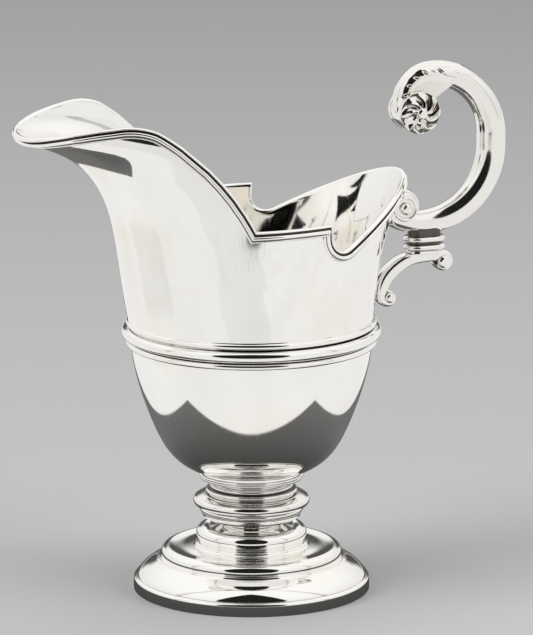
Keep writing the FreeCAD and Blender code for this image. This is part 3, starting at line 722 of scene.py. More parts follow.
RIM_SECTION = eased(outline([
    (-BODY_WALL + 0.1, 1.9, 0), (-BODY_WALL - 0.01, 1.7, 0), (-BODY_WALL - 0.01, 0.5, 0.40),
    (-0.25, -0.32, 0.26), (0.42, 0.10, 0), (0.34, 0.30, 0), (0.08, 0.38, 0), (0.10, 0.74, 0),
    (0.62, 0.78, 0.60), (0.70, 1.62, 0), (0.40, 1.70, 0), (0.36, 1.84, 0), (0.52, 1.90, 0.5),
    (0.34, 2.25, 0), (-0.3, 2.25, 0)], step=12.0), 0.07)
# Painted shade and painted reflection: the groove under the bead and the line under the fillet are
# darkened.
RIM_PAINTED_SHADE = [1.0 if 0.2 < down < 0.82 and 0 < across < 0.45 else
              (0.8 if 1.65 < down < 1.88 and across > 0 else 0.0) for across, down in RIM_SECTION]


def rim_length(name, first, last):
    """The rim wire from one station of the loop to another."""
    count = len(loop_angles)
    chosen = [index % count for index in range(first, last + 1)]
    rings = [rim_points[index] + rim_outward[index] * RIM_SECTION[:, :1]
             + rim_down[index] * RIM_SECTION[:, 1:2] for index in chosen]
    return capped_sweep(name, rings, RIM_PAINTED_SHADE * len(chosen))


def station_near(corner, sign):
    target = skin(sign * angle_of(*corner), corner[1])
    return int(np.argmin(np.linalg.norm(rim_points - target, axis=1)))


far_step, far_shoulder = station_near(STEP_HIGH, 1), station_near(SHOULDER, 1)
near_step, near_shoulder = station_near(STEP_HIGH, -1), station_near(SHOULDER, -1)
total = len(loop_angles)
for name, node, first, last in (
        ("rim_wire_lip", "rim_lip", far_shoulder, near_shoulder),
        ("rim_wire_shoulder_far", "rim_shoulder_right", far_step, far_shoulder),
        ("rim_wire_shoulder_near", "rim_shoulder_left", near_shoulder, near_step),
        ("rim_wire_back", "rim_back", near_step, far_step + total)):
    rim_piece = rim_length(name, first, last)
    stands_for(rim_piece, WIRE, node)
print("rim wire: lengths part at stations", far_step, far_shoulder, near_shoulder, near_step)

# %% [markdown]
# The handle is one long scroll: a tapering oval bar bent along arcs that meet without a kink.
# Its lower end rolls into a volute against the body and its upper end curls over a drum.
# Sweeping an oval along the arcs keeps the bar's roundness exact, where bending a straight bar
# with a modifier would pinch it.

# %% Scroll path
LOWER_RADIUS, UPPER_RADIUS, CURL_RADIUS, UPRIGHT = 17.5, 15.4, 6.4, 2.6
TAIL, MIDDLE, TIP = 2.5, 3.5, 2.7
VOLUTE_ANGLE, CURL_ANGLE, CURL_END = -112.0, 95.0, 196.0
VOLUTE_TURN, VOLUTE_SWEEP = 3.0, 285.0
VOLUTE_TIP, CURL_TIP, BOTTOM_HALF = 1.15, 1.9, 2.78
WIDTH_SHARE = 3.3 / MIDDLE
NARROW, VOLUTE_NARROW = 2.7, 2.45
LONG_STEPS, UPPER_STEPS, CURL_STEPS = 60, 46, 40
DRUM_SET_OUT, DRUM_SET_DOWN = 3.5, 2.0
scroll_x = high("handle_scroll").x - LOWER_RADIUS - MIDDLE
scroll_z = low("handle_scroll").z + LOWER_RADIUS + BOTTOM_HALF


def polar(centre, radius, degrees):
    turn = math.radians(degrees)
    return np.array((centre[0] + radius * math.cos(turn),
                     centre[1] + radius * math.sin(turn)))


lower_centre = np.array((scroll_x, scroll_z))
upper_centre = lower_centre + (LOWER_RADIUS - UPPER_RADIUS, UPRIGHT)
curl_centre = polar(upper_centre, UPPER_RADIUS - CURL_RADIUS, CURL_ANGLE)
volute_centre = polar(lower_centre, LOWER_RADIUS - VOLUTE_TURN, VOLUTE_ANGLE)
drum_centre = curl_centre - (DRUM_SET_OUT, DRUM_SET_DOWN)


def blend(start, end, share):
    return start + (end - start) * share


def scroll_path():
    """(point, outward direction in degrees, half thickness, half width) from volute to curl."""
    path = []
    for step in range(LONG_STEPS):
        share = step / LONG_STEPS
        angle = blend(VOLUTE_ANGLE - VOLUTE_SWEEP, VOLUTE_ANGLE, share)
        path.append((polar(volute_centre, VOLUTE_TURN, angle), angle,
                     blend(VOLUTE_TIP, TAIL, share ** 1.6), blend(VOLUTE_NARROW, NARROW, share)))
    for step in range(LONG_STEPS):
        share = step / LONG_STEPS
        angle = VOLUTE_ANGLE * (1 - share)
        thickness = blend(TAIL, MIDDLE, math.sin(math.pi / 2 * share))
        path.append((polar(lower_centre, LOWER_RADIUS, angle), angle, thickness,
                     max(NARROW, thickness * WIDTH_SHARE)))
    for step in range(UPPER_STEPS):
        share = step / UPPER_STEPS
        angle = CURL_ANGLE * share
        thickness = blend(MIDDLE, TIP, share)
        path.append((polar(upper_centre, UPPER_RADIUS, angle), angle, thickness,
                     thickness * WIDTH_SHARE))
    for step in range(CURL_STEPS + 1):
        share = step / CURL_STEPS
        angle = blend(CURL_ANGLE, CURL_END, share)
        path.append((polar(curl_centre, CURL_RADIUS, angle), angle,
                     blend(TIP, CURL_TIP, share), TIP * WIDTH_SHARE))
    return path


def ring_about(point, degrees, thickness, width, turns, out=0.0):
    """Points round an oval that stands across the path."""
    turn = math.radians(degrees)
    outward = np.array((math.cos(turn), 0.0, math.sin(turn)))
    centre = np.array((point[0], 0.0, point[1]))
    around = np.asarray(turns)[:, None]
    return centre + outward * (thickness + out) * np.cos(around) \
        + np.array((0.0, 1.0, 0.0)) * (width + out) * np.sin(around)


full_turn = np.linspace(0, 2 * math.pi, 40, endpoint=False)
scroll_stations = scroll_path()
scroll = capped_sweep("handle_scroll_bar", [
    ring_about(point, angle, thickness, width, full_turn)
    for point, angle, thickness, width in scroll_stations])
print(f"scroll: {len(scroll_stations)} stations, highest {high('handle_scroll').z:.1f} in the CAD")


# %% [markdown]
# The drum in the curl and the core of the volute are turned across the jug.  A turned piece can
# be made upright first and its points laid over, so the finished object itself still sits
# unturned at the origin.  A thin web closes the space between the drum and the bar that curls over
# it, and painted shade darkens it in place of the shadow inside the curl.

# %% Pieces turned across the jug
def turned_across(name, corners, centre, face, sign, ease=0.1, around=96, recess_of=None):
    """A turned piece whose axis runs across the jug, outwards from a face on one side."""
    piece = turned(name, corners, ease, around, recess_of)
    for vertex in piece.data.vertices:
        across, along, height = vertex.co / MM
        vertex.co = Vector((centre[0] + across, sign * (face + height),
                            centre[1] + along * sign)) * MM
    return piece


def join_into(target, *others):
    """Add the faces of other pieces to a target's mesh and remove them."""
    combined = bmesh.new()
    combined.from_mesh(target.data)
    for other in others:
        combined.from_mesh(other.data)
    combined.to_mesh(target.data)
    combined.free()
    for other in others:
        bpy.data.objects.remove(other)


DRUM_HALF, VOLUTE_HALF = 3.7, 2.9
DRUM_FLAT, DRUM_RADIUS, CORE_RADIUS = 4.3, 4.9, 2.6
WEB_FROM, WEB_SHORT, WEB_HALF = 66.0, 12.0, 2.3
WEB_START, WEB_POINTS, WEB_PAINTED_SHADE = 0.12, 8, 0.45
drum = turned_across("drum", [
    (0.0, -2 * DRUM_HALF, 0), (DRUM_FLAT, -2 * DRUM_HALF, 0.3),
    (DRUM_RADIUS, -2 * DRUM_HALF + 0.6, -0.05), (DRUM_RADIUS, -0.6, 0.3), (DRUM_FLAT, 0.0, 0),
    (0.0, 0.0, 0)], drum_centre, DRUM_HALF, -1)
core = turned_across("core", [
    (0.0, -2 * VOLUTE_HALF, 0), (CORE_RADIUS, -2 * VOLUTE_HALF, 0), (CORE_RADIUS, 0.0, 0),
    (0.0, 0.0, 0)], volute_centre, VOLUTE_HALF, -1)
web_rings = []
for point, angle, _, _ in scroll_stations:
    if WEB_FROM < angle < CURL_END - WEB_SHORT:
        start = blend(drum_centre, point, WEB_START)
        spots = [blend(start, point, share) for share in np.linspace(0, 1, WEB_POINTS)]
        web_rings.append([(along, -WEB_HALF, up) for along, up in spots]
                         + [(along, WEB_HALF, up) for along, up in spots[::-1]])
# Painted shade on the web, for the shadow inside the curl.
web = capped_sweep("web", web_rings, [WEB_PAINTED_SHADE] * (2 * WEB_POINTS * len(web_rings)))
join_into(scroll, drum, core, web)
stands_for(scroll, CAST_SHADED, "handle_scroll")

for side_name, node_side, sign in SIDES:
    # Painted shade in the groove between each boss's outer ring and its dome.
    boss = turned_across(f"volute_boss_{side_name}", [
        (0.0, -0.8, 0), (3.15, -0.8, 0), (3.15, 0.1, 0.6), (2.35, 0.35, 0), (2.1, -0.15, -0.3),
        (1.75, -0.15, 0), (1.62, 0.15, 0.42), (0.3, 1.35, 0.04), (0.0, 1.4, 0)],
        volute_centre, VOLUTE_HALF, sign,
        recess_of=lambda radius, level: 0.9 * (1.6 < radius < 2.3 and level < 0.1))
    stands_for(boss, CAST_SHADED, f"volute_boss_{node_side}")

# %% [markdown]
# A cast acanthus leaf lies over the curl.  It is a thin sheet wrapped over the bar: its edge
# swings in and out in lobes, a cut runs in obliquely from each gap between lobes and is darkened
# with painted shade, and a soft midrib follows the crest.  Cuts and midrib are one height formula
# over a grid that runs along the path and across it, and the lobes come from how far round the bar
# each row of that grid reaches.

# %% Acanthus leaf
LEAF_FROM, LEAF_LOBES, LOBE_LEAN = 48.0, 8, 0.9
LEAF_THICK, LEAF_SUNK, CUT_DEPTH, CUT_WIDTH, ACROSS = 0.36, 0.35, 0.42, 0.085, 61
LEAF_REACH, LOBE_SWING = 86, 4    # degrees round the bar from the crest, and the lobes' swing
leaf_path = [item for item in scroll_stations if item[1] >= LEAF_FROM]
fine_path = []
for here, following in zip(leaf_path, leaf_path[1:]):
    for share in (0.0, 0.5):
        fine_path.append(tuple(blend(*both, share) for both in zip(here, following)))
fine_path.append(leaf_path[-1])


def leaf_height(along, across):
    """(height, painted shade of the cuts) at a share along the leaf and across it from midrib to
    edge.
    """
    lobe = (along * LEAF_LOBES + LOBE_LEAN * across) % 1.0
    gap = min(lobe, 1 - lobe)
    window = min(1.0, max(0.0, across - 0.60) / 0.14) * min(1.0, max(0.0, 1.02 - across) / 0.1)
    cut = math.exp(-(gap / CUT_WIDTH) ** 2) * window * min(1.0, max(0.0, along - 0.12) / 0.1)
    rib = 0.08 * math.exp(-(across / 0.08) ** 2) + 0.05 * math.cos(2 * math.pi * lobe) * across
    edge = min(1.0, (1 - across) * 9 + 0.05) * min(1.0, along / 0.14 + 0.02)
    height = (LEAF_THICK + rib) * edge - CUT_DEPTH * cut
    return height, min(1.0, 1.15 * cut)


leaf_rings, leaf_recess = [], []
for index, (point, angle, thickness, width) in enumerate(fine_path):
    along = index / (len(fine_path) - 1)
    edge_lobe = (along * LEAF_LOBES + LOBE_LEAN) % 1.0
    reach_round = LEAF_REACH * min(1.0, (along / 0.16) ** 0.7)
    reach_round += LOBE_SWING * math.sin(math.pi * edge_lobe)
    reach_round *= math.sqrt(max(0.02, 1 - max(0.0, (along - 0.90) / 0.10) ** 2))
    turns = np.radians(np.linspace(-reach_round, reach_round, ACROSS))
    heights, depths = zip(*(leaf_height(along, abs(2 * k / (ACROSS - 1) - 1))
                            for k in range(ACROSS)))
    base = ring_about(point, angle, thickness, width, turns)
    raised = ring_about(point, angle, thickness, width, turns, 1.0)
    top = base + (raised - base) * np.array(heights)[:, None]
    under = ring_about(point, angle, thickness - LEAF_SUNK, width - LEAF_SUNK, turns[::-1])
    leaf_rings.append(np.concatenate((top, under)))
    leaf_recess.extend((*depths, *([0.0] * ACROSS)))
leaf = capped_sweep("acanthus_leaf", leaf_rings, leaf_recess, sharp=60.0)
stands_for(leaf, CAST_SHADED, "handle_leaf")

# %% [markdown]
# Each rosette is a pinwheel: curled petals round a bud.  One petal is modelled and Geometry Nodes
# set copies of it round a circle, which is the tool for anything that repeats about a centre: the
# number of petals stays one named input instead of eight copied meshes.

# %% One petal
PETALS = 8
ROSETTE_RADIUS = (high("rosette_left").x - low("rosette_left").x) / 2


def petal_mesh():
    """A comma-shaped, hollowed petal that sweeps out from the bud; +Z is away from the drum."""
    rows, columns = 15, 9
    top, bottom, depth = [], [], []
    for row in range(rows):
        out = row / (rows - 1)
        radius = blend(1.1, ROSETTE_RADIUS - 0.1, out)
        lean = 0.75 * out ** 1.3
        half = math.radians(21.5) * math.sqrt(
            max(0.0, 1 - max(0.0, (out - 0.74) / 0.28) ** 2))
        half *= blend(0.9, 1.0, out)
        for column in range(columns):
            across = 2 * column / (columns - 1) - 1
            turn = lean + across * half
            dome = 1.45 - 0.95 * out ** 2.2
            curl = 0.55 * max(0.0, across) ** 1.5 * math.sin(math.pi * min(1.0, out * 1.05))
            hollow = (-0.50 * math.exp(-((across + 0.25) / 0.35) ** 2)
                      * math.sin(math.pi * out) ** 0.7)
            edge = -0.75 * max(0.0, -across - 0.55) / 0.45
            height = dome + curl + hollow + edge
            top.append((radius * math.cos(turn), radius * math.sin(turn), height))
            bottom.append((radius * math.cos(turn), radius * math.sin(turn), -0.3))
            # Painted shade along the petal's tucked edge and in its hollow.
            depth.append(0.75 * (across < -0.8) + 0.35 * max(0.0, -hollow))
    count = rows * columns
    faces = grid_faces(rows, columns)
    faces += [tuple(index + count for index in face[::-1]) for face in faces]
    rim = [*range(columns), *(row * columns + columns - 1 for row in range(1, rows)),
           *(count - 2 - step for step in range(columns - 1)),
           *(row * columns for row in range(rows - 2, 0, -1))]
    for here, following in zip(rim, rim[1:] + rim[:1]):
        faces.append((here, here + count, following + count, following))
    # The petal's underside is fully darkened with painted shade.
    return solid_piece("petal", top + bottom, faces, depth + [0.9] * count, sharp=50.0)


# %% Geometry Nodes wheel
def wheel_of(name, template, material):
    """An object whose Geometry Nodes set copies of a template round the Z axis."""
    group = bpy.data.node_groups.new(name, "GeometryNodeTree")
    group.interface.new_socket("Copies", in_out="INPUT", socket_type="NodeSocketInt")
    group.interface.new_socket("Geometry", in_out="OUTPUT", socket_type="NodeSocketGeometry")
    tree = Tree(group)
    copies = tree.node("NodeGroupInput", output="Copies")
    index = tree.node("GeometryNodeInputIndex")
    line = tree.node("GeometryNodeMeshLine", {"mode": "OFFSET"}, {
        "Count": copies, "Offset": (0.0, 0.0, 0.0)})
    angle = index * (2 * math.pi) / copies
    turn = tree.node("ShaderNodeCombineXYZ", {}, {"Z": angle})
    source = tree.node("GeometryNodeObjectInfo", {}, {"Object": template}, output="Geometry")
    placed = tree.node("GeometryNodeInstanceOnPoints", {}, {
        "Points": line, "Instance": source, "Rotation": turn})
    real = tree.node("GeometryNodeRealizeInstances", {}, {"Geometry": placed})
    coated = tree.node("GeometryNodeSetMaterial", {}, {"Geometry": real, "Material": material})
    tree.node("NodeGroupOutput", {}, {"Geometry": coated})
    holder = linked(name, bpy.data.meshes.new(name + "_empty"))
    modifier = holder.modifiers.new("wheel", "NODES")
    modifier.node_group = group
    socket = next(item for item in group.interface.items_tree if item.name == "Copies")
    modifier[socket.identifier] = PETALS
    bpy.context.view_layer.update()
    evaluated = holder.evaluated_get(bpy.context.evaluated_depsgraph_get())
    mesh = bpy.data.meshes.new_from_object(evaluated)
    holder.modifiers.clear()
    holder.data = mesh
    return holder


petal = petal_mesh()
for side_name, node_side, sign in SIDES:
    rosette = wheel_of(f"rosette_{side_name}", petal, CAST_SHADED)
    # Painted shade on the seat's face between and under the petals.
    seat = turned(f"seat_{side_name}", [
        (0.0, -0.8, 0), (ROSETTE_RADIUS - 0.15, -0.8, 0), (ROSETTE_RADIUS, -0.1, 0.5),
        (ROSETTE_RADIUS - 0.5, 0.3, 0), (1.5, 0.3, 0), (1.45, 0.9, 0.5), (0.35, 2.0, 0.05),
        (0.0, 2.05, 0)], 0.08, 72, lambda radius, level: 0.9 * (radius > 1.5 and level > 0.25))
    join_into(rosette, seat)
    for vertex in rosette.data.vertices:
        across, along, height = vertex.co / MM
        vertex.co = Vector((drum_centre[0] - across * sign, sign * (DRUM_HALF + height),
                            drum_centre[1] + along)) * MM
    shell = bmesh.new()
    shell.from_mesh(rosette.data)
    bmesh.ops.recalc_face_normals(shell, faces=shell.faces)
    shell.to_mesh(rosette.data)
    shell.free()
    rosette.data.polygons.foreach_set("use_smooth", [True] * len(rosette.data.polygons))
    stands_for(rosette, CAST_SHADED, f"rosette_{node_side}")
bpy.data.objects.remove(petal)
print(f"rosettes: {PETALS} petals each, radius {ROSETTE_RADIUS:.1f}")

# %% [markdown]
# Between the scroll and its bracket stands a reel: an oval post with two rings.  Its outline is a
# lathe outline, but its plan is a stadium, so the outline's set-out is measured from that plan's
# centre line.

# %% Reel
reel_low, reel_high = low("handle_reel"), high("handle_reel")
reel_centre = (reel_low.x + reel_high.x) / 2
reel_half_length, reel_half_width = (reel_high.x - reel_low.x) / 2, reel_high.y
REEL_RINGS = [(0.35, 1.2), (2.35, 1.2)]
reel_corners = [(0.0, -0.5, 0), (reel_half_width - 0.6, -0.5, 0)]
for ring_rise, ring_height in REEL_RINGS:
    for set_in, rise, bow in ((0.95, ring_rise, 0), (0.35, ring_rise, 0.75),
                              (0.35, ring_rise + ring_height, 0),
                              (0.95, ring_rise + ring_height, 0)):
        reel_corners.append((reel_half_width - set_in, rise, bow))
reel_top = reel_high.z - reel_low.z + 0.6
reel_corners += [(reel_half_width - 0.8, reel_top, 0), (0.0, reel_top, 0)]
reel_outline = eased(outline(reel_corners), 0.12)
straight = reel_half_length - reel_half_width
plan = [(math.copysign(straight, math.cos(turn)), math.cos(turn), math.sin(turn))
        for turn in np.linspace(0, 2 * math.pi, 96, endpoint=False)]
reel_grid = [[(reel_centre + shift + radius * cosine, radius * sine, reel_low.z + level)
              for shift, cosine, sine in plan] for radius, level in reel_outline]
# Painted shade on the post between and beside the rings.
reel = capped_sweep("reel_post", reel_grid, [
    0.9 if radius < reel_half_width - 0.7 and 0 < level < reel_top - 0.1 else 0.0
    for radius, level in reel_outline for _ in plan])
stands_for(reel, CAST_SHADED, "handle_reel")

# %% [markdown]
# The bracket is a strap that leaves a small volute on the body, sweeps out and ends in a second
# volute.  Like the scroll it is one section swept along a path, but the section is a bar with
# rounded corners, nearly as wide as the bracket all the way, and small bead caps cover the ends
# of both volutes.

# %% Bracket
bracket_low, bracket_high = low("handle_bracket"), high("handle_bracket")
HALF_WIDTH = bracket_high.y
outer_volute = np.array((bracket_high.x - 2.9, bracket_high.z - 2.9))
lower_volute = np.array((bracket_low.x + 5.0, bracket_low.z + 1.9))
CORNER_POWER, SECTION_POINTS = 0.62, 36    # 1 makes an ellipse; less makes the corners squarer


def strap_pole(volute, across, up, thickness):
    """A pole of the strap's curve, set out from one of its volutes."""
    return volute[0] + across, volute[1] + up, thickness


def rolled(centre, from_angle, sweep, radii, thicknesses, count, power=1.0):
    """A strap end that rolls up about a centre, from its first to its last station."""
    stations = []
    for step in range(1, count + 1):
        share = step / count
        angle = from_angle + sweep * share
        stations.append((polar(centre, blend(*radii, share ** power), angle), angle,
                         blend(*thicknesses, share)))
    return stations


strap = spline([
    strap_pole(lower_volute, -1.9, -0.2, 1.3), strap_pole(lower_volute, -1.9, 3.2, 1.6),
    strap_pole(lower_volute, 0.6, 6.4, 1.75), strap_pole(lower_volute, 4.4, 8.8, 1.6),
    strap_pole(outer_volute, -5.5, 1.5, 1.45), strap_pole(outer_volute, -2.4, 1.5, 1.4),
    strap_pole(outer_volute, 0.2, 1.5, 1.4)], 70)
strap_path = rolled(lower_volute, 180, 230, (1.9, 0.75), (1.3, 0.8), 26, 0.5)[::-1]
for index, (across, up, thickness) in enumerate(strap):
    before, after = strap[max(index - 1, 0)], strap[min(index + 1, len(strap) - 1)]
    heading = math.degrees(math.atan2(after[1] - before[1], after[0] - before[0]))
    strap_path.append(((across, up), heading + 90, thickness))
strap_path += rolled(outer_volute, 90, -250, (1.5, 1.25), (1.4, 0.85), 32)


def rounded_power(value):
    return math.copysign(abs(value) ** CORNER_POWER, value)


def strap_ring(point, degrees, thickness):
    """A bar section with rounded corners that stands across the path."""
    turn = math.radians(degrees)
    outward = np.array((math.cos(turn), 0.0, math.sin(turn)))
    ring = []
    for step in range(SECTION_POINTS):
        around = 2 * math.pi * step / SECTION_POINTS
        over = rounded_power(math.cos(around)) * thickness
        side_way = rounded_power(math.sin(around)) * (HALF_WIDTH - 0.12)
        ring.append(np.array((point[0], 0.0, point[1])) + outward * over
                    + np.array((0, side_way, 0)))
    return ring


bracket = capped_sweep("bracket_strap", [strap_ring(*item) for item in strap_path])
stands_for(bracket, CAST_SHADED, "handle_bracket")

pellet_parts = []
# Painted shade on each cap's footing, where it sits on the strap.
for centre, radius in ((lower_volute, 1.25), (outer_volute, 1.55)):
    for sign in (-1, 1):
        pellet_parts.append(turned_across(f"pellet_{len(pellet_parts)}", [
            (0.0, -0.6, 0), (radius, -0.6, 0), (radius, 0.0, 0.40), (0.25, 0.62, 0.03),
            (0.0, 0.64, 0)], centre, HALF_WIDTH - 0.1, sign, around=48,
            recess_of=lambda _, level: 0.8 * (level < 0.05)))
pellets = pellet_parts[0]
join_into(pellets, *pellet_parts[1:])
pellets.name = "bracket_pellet_caps"
stands_for(pellets, CAST_SHADED, "bracket_pellets")

# %% [markdown]
# Behind the handle a thin shaped plate is soldered to the body to spread the load.  Its edge is a
# row of small lobes, and it lies on the body's own curve, so its points are placed with the same
# skin function.

# %% Plate
plate_low, plate_high = low("handle_plate"), high("handle_plate")
plate_middle = (plate_low.z + plate_high.z) / 2
plate_half_height = (plate_high.z - plate_low.z) / 2
plate_half_width = plate_high.y
PLATE_LOBES, SCALLOP, PLATE_RINGS, PLATE_AROUND = 14, 0.075, 22, 168
PLATE_PROUD, PLATE_SUNK, PLATE_DEPTH, ROUND_FROM = 0.72, 0.05, 0.6, 0.86
plate_top, plate_recess = [], []
for ring_share in np.linspace(0.0, 1.0, PLATE_RINGS):
    edge_share = max(0.0, (ring_share - ROUND_FROM) / (1 - ROUND_FROM))
    thickness = PLATE_PROUD * math.sqrt(max(0.0, 1 - edge_share ** 2)) - PLATE_SUNK
    for turn in np.linspace(0, 2 * math.pi, PLATE_AROUND, endpoint=False):
        lobe = 1 - SCALLOP * (1 - abs(math.sin(turn * PLATE_LOBES / 2)))
        across = plate_half_width * ring_share * lobe * math.sin(turn)
        level = plate_middle + plate_half_height * ring_share * lobe * math.cos(turn)
        half_width = reach(SIDE, level - waist)
        angle = math.asin(max(-0.99, min(0.99, across / half_width)))
        plate_top.append(skin(angle, level, thickness))
        # Painted shade along the plate's outer edge, where it meets the body.
        plate_recess.append(0.7 * (ring_share > 0.98))
plate_back = [point - np.array((PLATE_DEPTH, 0, 0)) for point in plate_top]
plate_faces = grid_faces(PLATE_RINGS, PLATE_AROUND, wrap_columns=True)
offset = len(plate_top)
plate_faces += [tuple(index + offset for index in face[::-1]) for face in plate_faces]
edge_row = offset - PLATE_AROUND
for here in range(PLATE_AROUND):
    following = (here + 1) % PLATE_AROUND
    plate_faces.append((edge_row + here, edge_row + following,
                        edge_row + following + offset, edge_row + here + offset))
plate = solid_piece("handle_plate_sheet", plate_top + plate_back, plate_faces,
                    plate_recess + plate_recess)
stands_for(plate, CAST_SHADED, "handle_plate")

# %% [markdown]
# Polished silver has hardly any colour of its own: it looks like what surrounds it.  So a studio
# for silver is built from what it will mirror.  The camera sees only a plain pale floor.  The
# silver sees a white tent with a dark opening where the camera looks in and a dark backdrop low
# behind the jug, and under the jug a dark cloth with white cards in front of it and on both
# sides.  Tent, cloth and cards are shown only to reflections.

# %% Floor and tent
AZIMUTH, ELEVATION, DISTANCE = math.radians(-21.0), math.radians(12.8), 1.5
towards = Vector((math.sin(AZIMUTH) * math.cos(ELEVATION),
                  -math.cos(AZIMUTH) * math.cos(ELEVATION), math.sin(ELEVATION)))
right = Vector((math.cos(AZIMUTH), math.sin(AZIMUTH), 0.0))
front = Vector((math.sin(AZIMUTH), -math.cos(AZIMUTH), 0.0))


def stage_object(name, mesh, material):
    thing = linked(name, mesh)
    thing.data.materials.append(material)
    return thing


def only_in_reflections(thing):
    thing.visible_camera = False
    thing.visible_diffuse = False
    thing.visible_shadow = False
    thing.visible_transmission = False
    thing.visible_volume_scatter = False


def flat_disc(name, radius, height, count=96):
    mesh = bpy.data.meshes.new(name)
    turns = [2 * math.pi * step / count for step in range(count)]
    ring = [(radius * math.cos(turn), radius * math.sin(turn), height) for turn in turns]
    mesh.from_pydata(ring, [], [tuple(range(count))])
    return mesh


WARM_WHITE = (1.0, 0.992, 0.975, 1.0)


def glowing(name, paint):
    """A material that only shines, with the brightness that paint(tree, position) returns."""
    material, tree = blank_material(name)
    place = tree.node("ShaderNodeTexCoord", output="Object")
    glow = tree.node("ShaderNodeEmission", {}, {
        "Color": WARM_WHITE, "Strength": paint(tree, place)})
    tree.node("ShaderNodeOutputMaterial", {}, {"Surface": glow})
    material.cycles.emission_sampling = "NONE"
    return material


def along(tree, place, direction):
    return tree.node("ShaderNodeVectorMath", {"operation": "DOT_PRODUCT"},
                     {0: place, 1: tuple(direction)}, output="Value")


TENT_RADIUS = 4.0
OPENING_HALF_ANGLE, OPENING_RISE, OPENING_HALF_RISE = 0.66, 0.52, 0.78
TRACK_HALF_ANGLE, TRACK_START = 0.49, 0.60
CARD_FRONT, CARD_SIDE, CARD_BOW, CARD_EDGE = 0.0535, 0.080, 2.5, 0.001
ARCHES = ((0.0, 0.30), (-1.45, 0.26))    # bearing and half width of two duller stretches of card


def paint_tent(tree, place):
    """White walls, a dark opening towards the camera and a dark backdrop low behind the jug."""
    ahead = along(tree, place, front) / TENT_RADIUS
    aside = along(tree, place, right) / TENT_RADIUS
    height = along(tree, place, (0, 0, 1)) / TENT_RADIUS
    bearing = tree.node("ShaderNodeMath", {"operation": "ARCTAN2"}, {0: aside, 1: ahead})
    off_axis = abs(bearing)
    elevation = tree.node("ShaderNodeMath", {"operation": "ARCSINE"}, {0: height})
    across = bearing / OPENING_HALF_ANGLE
    up = (elevation - OPENING_RISE) / OPENING_HALF_RISE
    opening = 1 - tree.smooth_step(across * across + up * up, 0.86, 1.0)
    backdrop = tree.smooth_step(off_axis, 2.72, 2.86) * (1 - tree.smooth_step(height, 0.22, 0.34))
    panel = 0.84 + 0.18 * tree.smooth_step(height, 0.0, 0.8)
    seam = tree.smooth_step(off_axis, 1.30, 1.34) * (1 - tree.smooth_step(off_axis, 1.40, 1.44))
    return (panel - seam * 0.30) * (1 - opening * 0.985) * (1 - backdrop * 0.90)


def paint_table(tree, place):
    """A dark cloth under the jug, with white cards laid in front of it and on both sides."""
    ahead = along(tree, place, front)
    aside = along(tree, place, right)
    bearing = tree.node("ShaderNodeMath", {"operation": "ARCTAN2"}, {0: aside, 1: ahead})
    distance = tree.node("ShaderNodeVectorMath", {"operation": "LENGTH"}, {0: place},
                         output="Value")
    front_card = tree.smooth_step(ahead + aside * aside * CARD_BOW,
                                  CARD_FRONT - CARD_EDGE, CARD_FRONT + CARD_EDGE)
    side_card = tree.smooth_step(abs(aside), CARD_SIDE - CARD_EDGE, CARD_SIDE + CARD_EDGE)
    card = 1 - (1 - front_card) * (1 - side_card)
    drift = tree.node("ShaderNodeTexNoise", {}, {"Vector": place, "Scale": 7.0, "Detail": 2.0})
    wander = bearing + (drift - 0.5) * 0.5
    arch = 0.0
    for centre, half in ARCHES:
        inside = 1 - tree.smooth_step(abs(wander - centre), half, half + 0.03)
        near_end = tree.smooth_step(distance, 0.16, 0.20)
        arch = arch + inside * near_end * (1 - tree.smooth_step(distance, 0.60, 0.90))
    cloth_tone = 0.060 + 0.10 * tree.smooth_step(distance, 0.02, 0.09)
    card_tone = 0.80 + 0.16 * drift - arch * 0.07
    aside_share = bearing / TRACK_HALF_ANGLE
    near_share = TRACK_START / distance
    track = 1 - tree.smooth_step(aside_share * aside_share + near_share * near_share, 0.92, 1.0)
    return (cloth_tone + (card_tone - cloth_tone) * card) * (1 - track * 0.98)


floor_material = bpy.data.materials.new("pale_floor")
floor_material.use_nodes = True
floor_bsdf = floor_material.node_tree.nodes["Principled BSDF"]
floor_bsdf.inputs["Base Color"].default_value = grey(0.44)
floor_bsdf.inputs["Roughness"].default_value = 0.9
floor_bsdf.inputs["Specular IOR Level"].default_value = 0.1
floor = stage_object("floor", flat_disc("floor", 30.0, 0.0), floor_material)
floor.visible_glossy = False

table_card = stage_object("table_reflection", flat_disc("table_reflection", TENT_RADIUS, -0.0002),
                          glowing("table_glow", paint_table))
only_in_reflections(table_card)

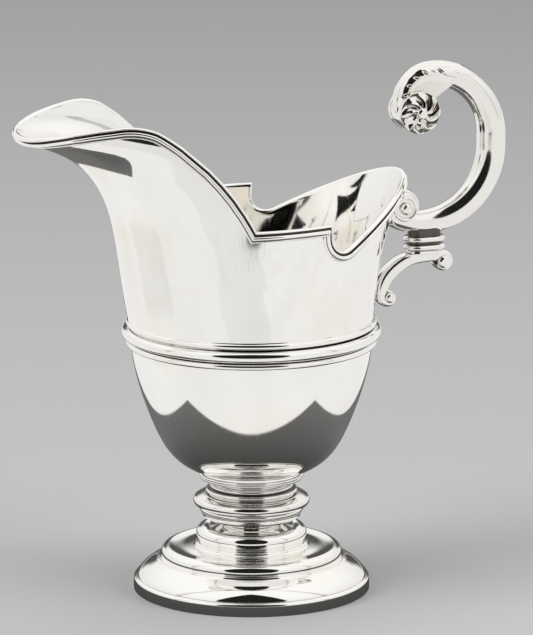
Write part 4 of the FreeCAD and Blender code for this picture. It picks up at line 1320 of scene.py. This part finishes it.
tent_mesh = bpy.data.meshes.new("tent")
tent_shape = bmesh.new()
bmesh.ops.create_uvsphere(tent_shape, u_segments=96, v_segments=48, radius=TENT_RADIUS)
tent_shape.to_mesh(tent_mesh)
tent_shape.free()
tent = stage_object("tent", tent_mesh, glowing("tent_glow", paint_tent))
only_in_reflections(tent)

# %% [markdown]
# Soft square lamps light the floor and give the jug its soft shadow.  They are kept out of the
# reflections, because a bare lamp would show in the silver as a hard white square.

# %% Lamps and world
world = bpy.data.worlds.new("studio")
bpy.context.scene.world = world
world.use_nodes = True
world.node_tree.nodes["Background"].inputs["Color"].default_value = grey(0.40)
world.node_tree.nodes["Background"].inputs["Strength"].default_value = 0.9


def lamp(name, spot, size, power):
    """A large soft square light that points at the middle of the jug."""
    light = bpy.data.lights.new(name, "AREA")
    light.shape = "SQUARE"
    light.size = size
    light.energy = power
    holder = linked(name, light)
    holder.location = spot
    middle = Vector((0.0, 0.0, 0.06))
    holder.rotation_euler = (Vector(spot) - middle).to_track_quat("Z", "Y").to_euler()
    holder.visible_glossy = False


lamp("left_softbox", tuple(front * 0.5 - right * 0.9 + Vector((0, 0, 0.8))), 0.7, 9.0)
lamp("right_softbox", tuple(front * 0.4 + right * 0.9 + Vector((0, 0, 0.7))), 0.7, 6.0)
lamp("overhead", (0.0, 0.0, 1.3), 0.9, 8.0)

# %% [markdown]
# A long lens far away gives the calm, flat perspective of a product picture.  The camera stands a
# little to the lip's side of square on, and a little above the jug.

# %% Camera
FRAME_HEIGHT = 0.1511
AIM_RIGHT, AIM_UP = 0.00357, 0.0639
upward = right.cross(-towards).normalized()
aim = right * AIM_RIGHT + upward * AIM_UP
camera_data = bpy.data.cameras.new("camera")
camera_data.sensor_width = 36.0
camera_data.lens = camera_data.sensor_width * DISTANCE / FRAME_HEIGHT
camera = linked("camera", camera_data)
camera.location = aim + towards * DISTANCE
camera.rotation_mode = "QUATERNION"
camera.rotation_quaternion = towards.to_track_quat("Z", "Y")
bpy.context.scene.camera = camera
bpy.context.scene.view_settings.view_transform = "Standard"
print(f"camera: {camera_data.lens:.0f} mm lens, {DISTANCE} m away")
